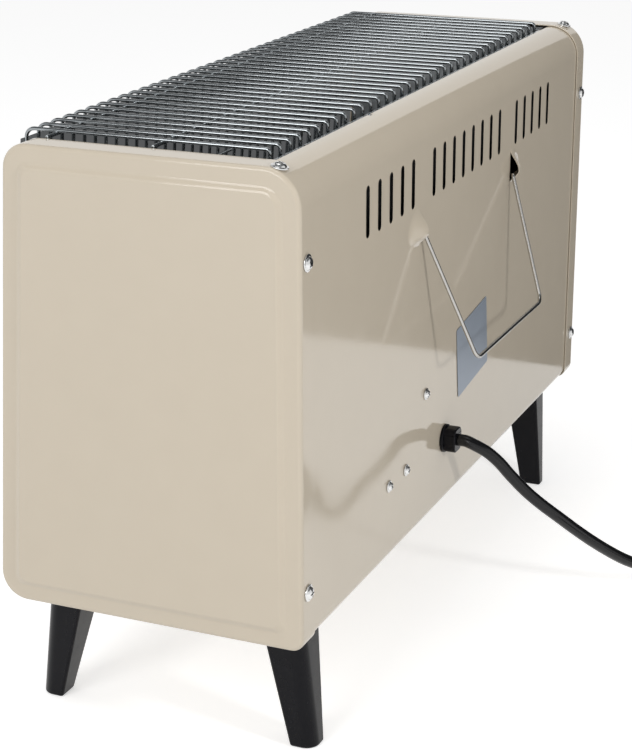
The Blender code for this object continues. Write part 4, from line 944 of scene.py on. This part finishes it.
quartz, tree, shader = new_material("frosted_quartz", {"Transmission Weight": 0.75, "IOR": 1.46})
frost = add_skin(tree, (0.86, 0.86, 0.84), (0.95, 0.95, 0.93), 400.0, (0.22, 0.34))
set_inputs(shader, {
    "Base Color": frost.outputs["Color"], "Roughness": frost.outputs["Roughness"]})
heating_wire = finish_with_skin("oxidised_wire", (0.16, 0.15, 0.15), (0.30, 0.27, 0.25), 900.0,
                                (0.45, 0.65), (0.20, 0.0001), metallic=1.0)
ceramic = finish_with_skin("unglazed_ceramic", (0.70, 0.67, 0.61), (0.80, 0.78, 0.73), 700.0,
                           (0.50, 0.70), (0.25, 0.0002))
for number, (y, z) in enumerate(tube_places, 1):
    spot = Matrix.Translation((0.0, y, z))
    dress(moved_copy(tube, "tube_%d" % number, spot), quartz, "quartz",
          "quartz_tube_%d" % number)
    dress(moved_copy(helix, "wire_coil_%d" % number, spot), heating_wire, "element",
          "heating_element_%d" % number)
    for end, side in (("right", 1), ("left", -1)):
        placing = spot @ Matrix.Translation((side * seat_face, 0.0, 0.0))
        if side < 0:
            placing = placing @ Matrix.Rotation(pi, 4, 'Z')
        dress(moved_copy(holder, "tube_holder_%d_%s" % (number, end), placing), ceramic, "ceramic",
              "ceramic_holder_%d_%s" % (number, end))
remove_patterns(tube, helix, holder)

# Wire grille
# Thirty-seven bright zinc-plated wires hook behind the lip, wrap the top and the front and end in a
# short foot on the front strip. Cross wires are welded beneath them.
WIRE_COUNT = 37
WIRE_END_GAP = 0.0133
WIRE_STANDOFF = 0.0024
WIRE_WELD_DEPTH = 0.0005
WIRE_HOOK_DROP = 0.0084
WIRE_HOOK_BEND = 0.0024
WIRE_FRONT_BEND = 0.006
WIRE_FOOT = 0.0095
CROSS_WIRE_TOP_DEPTHS = (0.104, 0.176)
CROSS_WIRE_FRONT_DROP = 0.070
CROSS_WIRE_FRONT_RISE = 0.0155
CROSS_WIRE_END = 0.0012

WIRE_END_ROUND = 0.12
NUGGET_RADIUS = WIRE * 0.62
NUGGET_FLATNESS = 0.7

wire_level = BODY_TOP + WIRE_STANDOFF
wire_foot_z = STRIP_TOP + CLEARANCE + WIRE / 2
wire_spread = FLANGE_EDGE - WIRE_END_GAP


def wire_from_line(line, diameter, roundness=3):
    """Turn an edge line into round wire with closed ends."""
    take(line)
    bpy.ops.object.convert(target='CURVE')
    line = bpy.context.object
    line.data.bevel_depth = diameter / 2
    line.data.bevel_resolution = roundness
    line.data.use_fill_caps = True
    bpy.ops.object.convert(target='MESH')
    line = bpy.context.object
    with editing(line):
        close_seams()
    soften_edges(line, diameter * WIRE_END_ROUND, degrees=70)
    smooth(line, WIRE_SHADE)
    return line


first_wire = wire_from_line(bent_line("grille_wire", at_x(-wire_spread, (
    (WIRE_HOOK_Y, wire_level - WIRE_HOOK_DROP),
    (WIRE_HOOK_Y, wire_level),
    (front_y(wire_level, -WIRE_STANDOFF), wire_level),
    (front_y(wire_foot_z, -WIRE_STANDOFF), wire_foot_z),
    (front_y(wire_foot_z, -WIRE_STANDOFF) + WIRE_FOOT, wire_foot_z),
)), (WIRE_HOOK_BEND, WIRE_FRONT_BEND, WIRE_HOOK_BEND), facets=6), WIRE)
wire_steps = [2 * wire_spread * number / (WIRE_COUNT - 1) for number in range(WIRE_COUNT)]
wires_and_welds = [first_wire]
for across in wire_steps[1:]:
    wires_and_welds.append(moved_copy(first_wire, "grille_wire",
                                      Matrix.Translation((across, 0.0, 0.0))))

cross_reach = FLANGE_EDGE - CROSS_WIRE_END
cross_below = WIRE - WIRE_WELD_DEPTH
cross_spots = [(BACK_Y - depth, wire_level - cross_below) for depth in CROSS_WIRE_TOP_DEPTHS]
cross_high = BODY_TOP - CROSS_WIRE_FRONT_DROP
cross_low = STRIP_TOP + CROSS_WIRE_FRONT_RISE
for height in (cross_high, (cross_high + cross_low) / 2, cross_low):
    cross_spots.append((front_y(height, cross_below - WIRE_STANDOFF), height))
for y, z in cross_spots:
    wires_and_welds.append(wire_from_line(bent_line("cross_wire", (
        (-cross_reach, y, z), (0.0, y, z), (cross_reach, y, z)), (0.0,)), WIRE))

bpy.ops.mesh.primitive_ico_sphere_add(subdivisions=2, radius=NUGGET_RADIUS)
nugget = newest("weld")
nugget.scale = (1.0, 1.0, NUGGET_FLATNESS)
bpy.ops.object.transform_apply(location=True, rotation=True, scale=True)
bpy.ops.object.shade_smooth()
for index, (y, z) in enumerate(cross_spots):
    on_top = index < len(CROSS_WIRE_TOP_DEPTHS)
    turn = Matrix.Identity(4) if on_top else Matrix.Rotation(pi / 2 - LEAN, 4, 'X')
    lift = Vector((0.0, 0.0, cross_below / 2)) if on_top else Vector((0.0, -cross_below / 2, 0.0))
    for across in wire_steps:
        spot = Vector((across - wire_spread, y, z)) + lift
        wires_and_welds.append(moved_copy(nugget, "weld", Matrix.Translation(spot) @ turn))
remove_patterns(nugget)
grille = join(wires_and_welds)
grille.name = "wire_guard"
# The wires' dark grey is partly the zinc's own tone and partly painted shade of a dim room above
zinc = finish_with_skin("zinc_wire_with_painted_shade", (0.26, 0.28, 0.29), (0.34, 0.36, 0.37), 500.0,
                        (0.10, 0.18), (0.04, 0.0001), metallic=1.0)
dress(grille, zinc, "zinc_wire", "grille")

# Rocker switches
# Two black moulded housings snap into windows of the front strip near its right end. A glossy
# rocker tips about its pivot in each.
SWITCH_FROM_END = (0.1045, 0.0625)
SWITCH_HEIGHT = 0.0375
BEZEL = (0.030, 0.0145, 0.0016)
SWITCH_BODY = (0.027, 0.0118, 0.016)
RECESS_DEPTH = 0.0082
RECESS_RIM = 0.0025
ROCKER_WIDTH = 0.0238
ROCKER_RADIUS = 0.0039
ROCKER_PIVOT_DEPTH = 0.0040
ROCKER_CROWN = 0.0030
ROCKER_VALLEY = 0.0016
ROCKER_TILT = 8.0
ROCKER_BACK_STEPS = 12
ROCKER_FACE_STEPS = 8
HOUSING_EDGE = 0.0005
ROCKER_EDGE = 0.0003

black_plastic = finish_with_skin("black_satin_plastic", (0.003, 0.003, 0.005),
                                 (0.006, 0.006, 0.008), 900.0, (0.18, 0.28), (0.08, 0.0001),
                                 specular=0.14)
black_gloss = finish_with_skin("black_gloss_plastic", (0.010, 0.010, 0.011),
                               (0.014, 0.014, 0.015), 300.0, (0.12, 0.22), (0.04, 0.0001))


def switch_placing(x):
    """Placing on the front strip whose Y goes in through the face, square to it."""
    height = BODY_BASE + SWITCH_HEIGHT
    spot = Matrix.Translation((x, front_y(height, SHELL_INSET), height))
    return spot @ Matrix.Rotation(-LEAN, 4, 'X')


bezel_face = -CLEARANCE - BEZEL[2]
housing = add_block("housing_pattern", (-BEZEL[0] / 2, bezel_face, -BEZEL[1] / 2),
                    (BEZEL[0] / 2, -CLEARANCE, BEZEL[1] / 2))
with editing(housing):
    select_where(housing, 'FACE', lambda face: face.normal.y > 0.9)
    bpy.ops.mesh.inset(thickness=(BEZEL[1] - SWITCH_BODY[1]) / 2, depth=0.0)
    pull((0.0, SWITCH_BODY[2] + CLEARANCE, 0.0))
    select_where(housing, 'FACE', lambda face: face.normal.y < -0.9)
    bpy.ops.mesh.inset(thickness=RECESS_RIM, depth=0.0)
    pull((0.0, RECESS_DEPTH, 0.0))
soften_edges(housing, HOUSING_EDGE, segments=3)
shade(housing)

rocker_line = []
for step in range(ROCKER_BACK_STEPS + 1):
    turn = pi * step / ROCKER_BACK_STEPS
    rocker_line.append((ROCKER_RADIUS * sin(turn), -ROCKER_RADIUS * cos(turn)))
for step in range(ROCKER_FACE_STEPS + 1):
    share = 1 - 2 * step / ROCKER_FACE_STEPS
    dip = -ROCKER_PIVOT_DEPTH - ROCKER_VALLEY - (ROCKER_CROWN - ROCKER_VALLEY) * share ** 2
    rocker_line.append((dip, ROCKER_RADIUS * share))
rocker = bent_line("rocker_pattern", at_x(-ROCKER_WIDTH / 2, rocker_line),
                   (0.0,) * len(rocker_line), closed=True)
with editing(rocker):
    bpy.ops.mesh.edge_face_add()
    pull((ROCKER_WIDTH, 0.0, 0.0))
    close_seams()
soften_edges(rocker, ROCKER_EDGE, segments=3, degrees=50)
shade(rocker)
for number, from_end in enumerate(SWITCH_FROM_END, 1):
    seat = switch_placing(HALF - from_end)
    dress(moved_copy(housing, "switch_case_%d" % number, seat), black_plastic, "black_plastic",
          "switch_housing_%d" % number)
    tipped = (seat @ Matrix.Translation((0.0, bezel_face + ROCKER_PIVOT_DEPTH, 0.0))
              @ Matrix.Rotation(radians(ROCKER_TILT), 4, 'X'))
    dress(moved_copy(rocker, "switch_rocker_%d" % number, tipped), black_gloss, "black_gloss",
          "rocker_%d" % number, body="rocker_%d" % number)
remove_patterns(housing, rocker)

# Legs
# Four tapered legs of black satin plastic, screwed up into the bottom. The corner that looks out
# is a wide round, and the others are only broken.
LEG_TOP_END = 0.029
LEG_TOP_LENGTH = 0.0295
LEG_FOOT_END = 0.038
LEG_FOOT_LENGTH = 0.0165
LEG_BACK_TOP = (0.0142, 0.0422)
LEG_BACK_FOOT = (0.0086, 0.0263)
LEG_FRONT_TOP = (0.1686, 0.1966)
LEG_FRONT_FOOT = (0.1948, 0.2120)
LEG_OUTER_RADIUS = 0.0095
LEG_INNER_RADIUS = 0.0020
LEG_FOOT_ROUND = 0.0018
LEG_TOP = BODY_BASE + SHELL_INSET - CLEARANCE
LEG_WIDE_FACE = 0.0008


def make_leg(name, top, foot, outer_is_back):
    """A right leg from the depths of its top and foot."""
    leg = add_block(name, (0.0, 0.0, 0.0), (1.0, 1.0, LEG_TOP))
    for vertex in leg.data.vertices:
        raised = vertex.co.z > LEG_TOP / 2
        outward = vertex.co.x > 0.5
        near_back = vertex.co.y > 0.5
        depths = top if raised else foot
        end = LEG_TOP_END if raised else LEG_FOOT_END
        length = LEG_TOP_LENGTH if raised else LEG_FOOT_LENGTH
        vertex.co.x = HALF - end if outward else HALF - end - length
        vertex.co.y = BACK_Y - (depths[0] if near_back else depths[1])

    is_upright = runs_along(2, LEG_TOP / 2)

    def is_outer(edge):
        spots = [vertex.co for vertex in edge.verts if vertex.co.z < LEG_TOP / 2]
        outward = all(spot.x > HALF - LEG_FOOT_END - LEG_FOOT_LENGTH / 2 for spot in spots)
        middle = BACK_Y - sum(foot) / 2
        return outward and all((spot.y > middle) == outer_is_back for spot in spots)

    with editing(leg):
        round_edges(leg, LEG_INNER_RADIUS, 4,
                    lambda edge: is_upright(edge) and not is_outer(edge))
        round_edges(leg, LEG_OUTER_RADIUS, 12, lambda edge: (
            is_upright(edge) and is_outer(edge)
            and all(face.calc_area() > LEG_WIDE_FACE for face in edge.link_faces)))
        round_edges(leg, LEG_FOOT_ROUND, 4,
                    lambda edge: all(vertex.co.z < ON_FACE for vertex in edge.verts))
    shade(leg)
    return leg


for row, top, foot in (("back", LEG_BACK_TOP, LEG_BACK_FOOT),
                       ("front", LEG_FRONT_TOP, LEG_FRONT_FOOT)):
    right_leg = make_leg("tapered_leg_%s_right" % row, top, foot, row == "back")
    left_leg = mirrored_copy(right_leg, "tapered_leg_%s_left" % row)
    dress(right_leg, black_plastic, "black_plastic", "leg_%s_right" % row)
    dress(left_leg, black_plastic, "black_plastic", "leg_%s_left" % row)

# Screws
# Bright plated steel with cross recesses. Nine hold the end caps and the pieces inside the back,
# and one goes down into each leg from inside the body.
# The width and height of the head, then the width and length of the shank
CAP_SCREW = (0.0109, 0.0028, 0.0042, 0.0095)
BACK_SCREW = (0.0084, 0.0026, 0.0040, 0.010)
CAP_SCREW_END_INSET = 0.009
CAP_SCREW_UPPER_DROP = 0.056
CAP_SCREW_LOWER_RISE = 0.0375
CAP_SCREW_CORNER_ANGLE = 19.0
CAP_SCREW_CORNER_LEAN = 12.0
CAP_SCREW_CORNER_INSET = 0.008
TERMINAL_CENTRE_X = 0.1293
TERMINAL_SCREW_SPACING = 0.032
TERMINAL_RISE = 0.0551
TIP_SWITCH_CENTRE_X = 0.0759
TIP_SWITCH_RISE = 0.0979

SCREW_RECESS_TURN = radians(20)
# Shares of a head's width, but the flange's and the recess floor's are of its height
SCREW_DOME = 0.385
SCREW_FLANGE = 0.30
RECESS_ARM = 0.24
RECESS_WIDTH = 0.085
RECESS_FLOOR = 0.35
CAP_SCREW_TURNS = 0.9
CAP_SCREW_SIDE_TURN = 0.4
BACK_SCREW_TURNS = 0.7

bright_steel = finish_with_skin("bright_plated_steel", (0.62, 0.62, 0.62), (0.76, 0.76, 0.75),
                                800.0, (0.14, 0.26), (0.05, 0.0001), metallic=1.0)


def make_screw(name, head, height, shank, length):
    """A cross-recess screw with a flange under its domed head, its seat at zero height."""
    dome = head * SCREW_DOME
    flange = height * SCREW_FLANGE
    screw = turned(name, 'Z', (
        (height, 0.0), (height * 0.95, dome * 0.75), (flange, dome), (flange * 0.75, head / 2),
        (0.0, head / 2), (0.0, shank / 2), (-length, shank / 2), (-length, 0.0),
    ), (head * 0.20, height * 0.12, flange * 0.3, 0.0, 0.0, shank * 0.2), facets=5, steps=32)
    arm, width = head * RECESS_ARM, head * RECESS_WIDTH
    for reach_x, reach_y in ((arm, width / 2), (width / 2, arm)):
        cutter = add_block("recess", (-reach_x, -reach_y, height * RECESS_FLOOR),
                           (reach_x, reach_y, height * 2))
        cutter.data.transform(Matrix.Rotation(SCREW_RECESS_TURN, 4, 'Z'))
        cut(screw, [cutter])
    shade(screw, degrees=40)
    return screw


def facing_back(x, z, y):
    """Placing whose Z points out of the back."""
    return Matrix.Translation((x, y, z)) @ Matrix.Rotation(-pi / 2, 4, 'X')


cap_screw = make_screw("cap_screw_pattern", *CAP_SCREW)
corner_turn = radians(CAP_SCREW_CORNER_ANGLE)
for end, side in (("right", 1), ("left", -1)):
    flange_x = side * (HALF - CAP_SCREW_END_INSET)
    corner_spot = (side * (HALF - CAP_SCREW_CORNER_INSET),
                   BACK_Y - RADIUS_BACK_TOP + RADIUS_BACK_TOP * sin(corner_turn),
                   BODY_TOP - RADIUS_BACK_TOP + RADIUS_BACK_TOP * cos(corner_turn))
    places = (
        ("upper", facing_back(flange_x, BODY_TOP - CAP_SCREW_UPPER_DROP, BACK_Y)),
        ("lower", facing_back(flange_x, BODY_BASE + CAP_SCREW_LOWER_RISE, BACK_Y)),
        ("corner", Matrix.Translation(corner_spot)
         @ Matrix.Rotation(-radians(CAP_SCREW_CORNER_LEAN), 4, 'X')),
    )
    for turn, (label, placing) in enumerate(places):
        placing = (placing @ Matrix.Translation((0.0, 0.0, CLEARANCE))
                   @ Matrix.Rotation(turn * CAP_SCREW_TURNS + side * CAP_SCREW_SIDE_TURN, 4, 'Z'))
        dress(moved_copy(cap_screw, "flange_screw_%s_%s" % (end, label), placing), bright_steel,
              "zinc_screw", "cap_screw_%s_%s" % (end, label))
remove_patterns(cap_screw)

back_screw = make_screw("back_screw_pattern", *BACK_SCREW)
half_spacing = TERMINAL_SCREW_SPACING / 2
for number, (x, rise) in enumerate(((TERMINAL_CENTRE_X + half_spacing, TERMINAL_RISE),
                                    (TERMINAL_CENTRE_X - half_spacing, TERMINAL_RISE),
                                    (TIP_SWITCH_CENTRE_X, TIP_SWITCH_RISE)), 1):
    placing = (facing_back(x, BODY_BASE + rise, SHELL_BACK)
               @ Matrix.Translation((0.0, 0.0, CLEARANCE))
               @ Matrix.Rotation(number * BACK_SCREW_TURNS, 4, 'Z'))
    dress(moved_copy(back_screw, "fixing_screw_%d" % number, placing), bright_steel, "zinc_screw",
          "back_screw_%d" % number)
remove_patterns(back_screw)
paint(bright_steel, "leg_screw_back_right", "leg_screw_back_left", "leg_screw_front_right",
      "leg_screw_front_left")

# Terminal block and tip-over switch
# Bought parts behind the back, held by the three small screws: a white moulded block that joins
# the wires and a black switch that opens when the heater falls.
white_plastic = finish_with_skin("white_moulding", (0.66, 0.66, 0.62), (0.74, 0.74, 0.70), 500.0,
                                 (0.36, 0.48), (0.10, 0.0001))
paint(white_plastic, "terminal_block")
paint(black_plastic, "tip_over_switch")

# Bail
# One bright wire bent to a trapezium. Its ends are sprung outward into the two pockets, and it
# hangs there at a small angle off the back.
BAIL_WIRE = 0.0028
BAIL_PIVOT_Y = BACK_Y + 0.0017
BAIL_PIVOT_Z = BODY_TOP - 0.0855
BAIL_TOP_HALF = 0.0954
BAIL_BOTTOM_HALF = 0.0737
BAIL_END_HALF = 0.1045
BAIL_ARM = 0.0948
BAIL_TILT = radians(19.5)
BAIL_FACETS = 10
BAIL_TOP_BEND = 0.003
BAIL_BOTTOM_BEND = 0.008


def on_bail(across, reach):
    """A point of the bail at its tilt, across from its middle and a reach from its pivot axis."""
    return (BACK_CENTRE_X + across, BAIL_PIVOT_Y + reach * sin(BAIL_TILT),
            BAIL_PIVOT_Z - reach * cos(BAIL_TILT))


bail_line = bent_line("carrying_wire", (
    on_bail(-BAIL_END_HALF, 0.0), on_bail(-BAIL_TOP_HALF, 0.0),
    on_bail(-BAIL_BOTTOM_HALF, BAIL_ARM), on_bail(BAIL_BOTTOM_HALF, BAIL_ARM),
    on_bail(BAIL_TOP_HALF, 0.0), on_bail(BAIL_END_HALF, 0.0),
), (BAIL_TOP_BEND, BAIL_BOTTOM_BEND, BAIL_BOTTOM_BEND, BAIL_TOP_BEND), facets=BAIL_FACETS)
bail = wire_from_line(bail_line, BAIL_WIRE, roundness=6)
# The bail's grey is partly the plating's own tone and partly painted shade, darker than bright
# plate
plated_wire = finish_with_skin("plated_wire_with_painted_shade", (0.40, 0.39, 0.37), (0.50, 0.49, 0.47), 500.0,
                               (0.10, 0.18), (0.04, 0.0001), metallic=1.0)
dress(bail, plated_wire, "zinc_wire", "bail", body="bail")

# Cord gland
# A black moulded clamp in two halves with a round flange. It grips the cord where it goes through
# the back.
GLAND_FLANGE_DIAMETER = 0.0205
GLAND_FLANGE = 0.0022
GLAND_BODY = (0.0150, 0.0175, 0.0105)
GLAND_NECK_DIAMETER = 0.0140
GLAND_NECK = 0.006
GLAND_SPLIT_DROP = 0.004
GLAND_SPLIT = 0.0004
GLAND_CORNER = 0.0046
GLAND_RIM = 0.0009
GLAND_SPLIT_DEPTH = 0.0007
GLAND_SPLIT_FACE_DEPTH = 0.0006
GLAND_SPLIT_REACH = 0.02
GLAND_SPLIT_EASE = 0.00001

gland_root = SHELL_BACK + CLEARANCE
disc = turned("gland_disc", 'Z', (
    (GLAND_FLANGE, 0.0), (GLAND_FLANGE, GLAND_FLANGE_DIAMETER / 2),
    (0.0, GLAND_FLANGE_DIAMETER / 2), (0.0, GLAND_NECK_DIAMETER / 2),
    (-GLAND_NECK, GLAND_NECK_DIAMETER / 2), (-GLAND_NECK, 0.0),
), (0.0008, 0.0, 0.0, 0.0006), facets=3, steps=40)
disc.data.transform(facing_back(GLAND_X, GLAND_Z, gland_root))
gland_face = gland_root + GLAND_BODY[2]
gland = add_block("gland_clamp",
                  (GLAND_X - GLAND_BODY[0] / 2, gland_root + GLAND_FLANGE / 2,
                   GLAND_Z - GLAND_BODY[1] / 2),
                  (GLAND_X + GLAND_BODY[0] / 2, gland_face, GLAND_Z + GLAND_BODY[1] / 2))
with editing(gland):
    round_edges(gland, GLAND_CORNER, 6, runs_along(1, SHEET))
    round_edges(gland, GLAND_RIM, 3,
                lambda edge: all(vertex.co.y > gland_face - ON_FACE for vertex in edge.verts))
split_z = GLAND_Z + GLAND_BODY[1] / 2 - GLAND_SPLIT_DROP
split_end = gland_root + GLAND_SPLIT_REACH
side_splits = [(GLAND_X + side * GLAND_BODY[0] / 2, GLAND_SPLIT_DEPTH, gland_root, 0.0)
               for side in (-1, 1)]
for x, reach, start, ease in side_splits + [
        (GLAND_X, GLAND_SPLIT_REACH, gland_face - GLAND_SPLIT_FACE_DEPTH, GLAND_SPLIT_EASE)]:
    half_gap = GLAND_SPLIT / 2 - ease
    cut(gland, [add_block("split", (x - reach, start, split_z - half_gap),
                          (x + reach, split_end, split_z + half_gap))])
join([gland, disc])
shade(gland)
dress(gland, black_plastic, "black_plastic", "cord_gland")

# Data plate
# A thin foil plate of blue-grey metal, stuck to the back a little askew. It is blank.
PLATE_SIZE = (0.066, 0.053)
PLATE_CENTRE = (-0.0219, BODY_BASE + 0.1034)
PLATE_TURN = radians(7.0)
PLATE_THICKNESS = 0.0003
PLATE_CORNER = 0.0015
PLATE_EDGE = 0.00006

plate = add_block("foil_plate", (-PLATE_SIZE[0] / 2, 0.0, -PLATE_SIZE[1] / 2),
                  (PLATE_SIZE[0] / 2, PLATE_THICKNESS, PLATE_SIZE[1] / 2))
with editing(plate):
    round_edges(plate, PLATE_CORNER, 4, runs_along(1, PLATE_THICKNESS / 2))
soften_edges(plate, PLATE_EDGE)
plate.data.transform(
    Matrix.Translation((PLATE_CENTRE[0], SHELL_BACK + CLEARANCE, PLATE_CENTRE[1]))
    @ Matrix.Rotation(PLATE_TURN, 4, 'Y'))
shade(plate)
foil = finish_with_skin("blue_grey_foil", (0.300, 0.345, 0.415), (0.335, 0.385, 0.455), 120.0,
                        (0.30, 0.42), (0.10, 0.0002), metallic=0.35)
dress(plate, foil, "foil", "data_plate")

# Cord strap
# A woven black strap holds the turns of the cord together.
TIE_WIDTH = 0.010
TIE_THICKNESS = 0.0012
TIE_RADIAL_CLEARANCE = 0.0011
TIE_RISE_CLEARANCE = 0.0003
TIE_BEND = 0.0042
TIE_EDGE = 0.0003
THREAD_SCALE = 420.0

tie_outer = COIL_RADIUS - COIL_PITCH * 0.25 + CORD / 2 + TIE_RADIAL_CLEARANCE + TIE_THICKNESS
tie_inner = (COIL_RADIUS - COIL_PITCH * COIL_TURNS_PER_LAYER - CORD / 2 - TIE_RADIAL_CLEARANCE
             - TIE_THICKNESS)
tie_low = -CORD / 2 - TIE_RISE_CLEARANCE - TIE_THICKNESS
tie_high = COIL_LAYER + CORD / 2 + TIE_RISE_CLEARANCE + TIE_THICKNESS


def on_tie(out, rise):
    """A point of the strap's near edge, an outward reach and a rise from the coil's middle."""
    return coil_centre + coil_ahead * out + coil_right * TIE_WIDTH / 2 + Vector((0.0, 0.0, rise))


tie = bent_line("cord_strap", (on_tie(tie_inner, tie_low), on_tie(tie_outer, tie_low),
                               on_tie(tie_outer, tie_high), on_tie(tie_inner, tie_high)),
                (TIE_BEND,) * 4, facets=6, closed=True)
extrude_along(tie, -coil_right * TIE_WIDTH)
face_outward(tie, on_tie(tie_outer, (tie_low + tie_high) / 2), coil_ahead)
thicken(tie, TIE_THICKNESS)
soften_edges(tie, TIE_EDGE)
shade(tie)
woven, tree, shader = new_material("woven_strap", {"Roughness": 0.85})
place = add_node(tree, "ShaderNodeTexCoord").outputs["Object"]
threads = [add_node(tree, "ShaderNodeTexWave", {"Vector": place, "Scale": THREAD_SCALE},
                    wave_type='BANDS', bands_direction=way).outputs["Fac"] for way in ('X', 'Z')]
weave = calculate(tree, 'MAXIMUM', *threads)
tone = add_node(tree, "ShaderNodeMix", data_type='RGBA', inputs={
    "Factor": weave, "A": (0.008, 0.008, 0.009, 1.0), "B": (0.030, 0.030, 0.032, 1.0)})
relief = add_node(tree, "ShaderNodeBump", {"Strength": 0.5, "Distance": 0.0003, "Height": weave})
set_inputs(shader, {
    "Base Color": tone.outputs["Result"], "Normal": relief.outputs["Normal"]})
dress(tie, woven, "black_fabric", "cord_tie")

# Plug
# A round two-pin plug moulded on the cord, with a ribbed nose and bright pins. It lies on the
# floor beside the coil.
PLUG_LENGTH = 0.030
PLUG_NOSE = 0.022
PLUG_NOSE_DIAMETER = 0.013
PIN_DIAMETER = 0.0048
PIN_LENGTH = 0.019
PIN_SPACING = 0.019
PIN_SEAT = 0.006
PIN_TIP_ROUND = 0.0011
PIN_ROOT_ROUND = 0.0002
NOSE_RIBS = 4
NOSE_RIBBED = 0.70
NOSE_START = 0.86
NOSE_GROWTH = 0.035
# Each rib's corners: out from its widest, and along the nose from its start
RIB_PROFILE = ((0.0, 0.0010), (0.0, 0.0028), (-0.0008, 0.0030), (-0.0008, 0.0038))
plug_up = Vector((0.0, 0.0, 1.0))
plug_placing = (Matrix.Translation(tail_end + plug_way * CLEARANCE)
                @ Matrix((plug_up.cross(plug_way), plug_up, plug_way)).transposed().to_4x4())
plug_face = PLUG_NOSE + PLUG_LENGTH
nose = PLUG_NOSE_DIAMETER / 2
girth = PLUG_DIAMETER / 2
plug_line = [(0.0, 0.0), (0.0, nose * 0.85)]
for rib in range(NOSE_RIBS):
    start = PLUG_NOSE * NOSE_RIBBED * rib / NOSE_RIBS
    wide = nose * (NOSE_START + NOSE_GROWTH * rib)
    plug_line += [(start + along, wide + out) for out, along in RIB_PROFILE]
plug_line += [(PLUG_NOSE * 0.80, nose), (PLUG_NOSE, girth * 0.75), (PLUG_NOSE * 1.3, girth * 0.92),
              (PLUG_NOSE * 1.8, girth), (plug_face, girth), (plug_face, 0.0)]
plug_bends = ([0.0008] + [0.0] * (len(RIB_PROFILE) * NOSE_RIBS)
              + [0.002, 0.004, 0.006, 0.006, 0.0015])
plug = turned("moulded_plug", 'Z', plug_line, plug_bends, facets=4, steps=40)
plug.data.transform(plug_placing)
shade(plug, degrees=40)
dress(plug, black_plastic, "black_plastic", "plug_body")
nickel = finish_with_skin("nickel_plate", (0.66, 0.64, 0.60), (0.78, 0.76, 0.72), 900.0,
                          (0.16, 0.28), (0.04, 0.0001), metallic=1.0)
for number, offset in enumerate((-0.5, 0.5), 1):
    pin = turned("round_pin_%d" % number, 'Z', (
        (PIN_LENGTH, 0.0), (PIN_LENGTH, PIN_DIAMETER / 2),
        (CLEARANCE - PIN_SEAT, PIN_DIAMETER / 2), (CLEARANCE - PIN_SEAT, 0.0),
    ), (PIN_TIP_ROUND, PIN_ROOT_ROUND), facets=5, steps=24)
    pin.data.transform(plug_placing @ Matrix.Translation((offset * PIN_SPACING, 0.0, plug_face)))
    shade(pin, degrees=40)
    dress(pin, nickel, "nickel", "plug_pin_%d" % number)
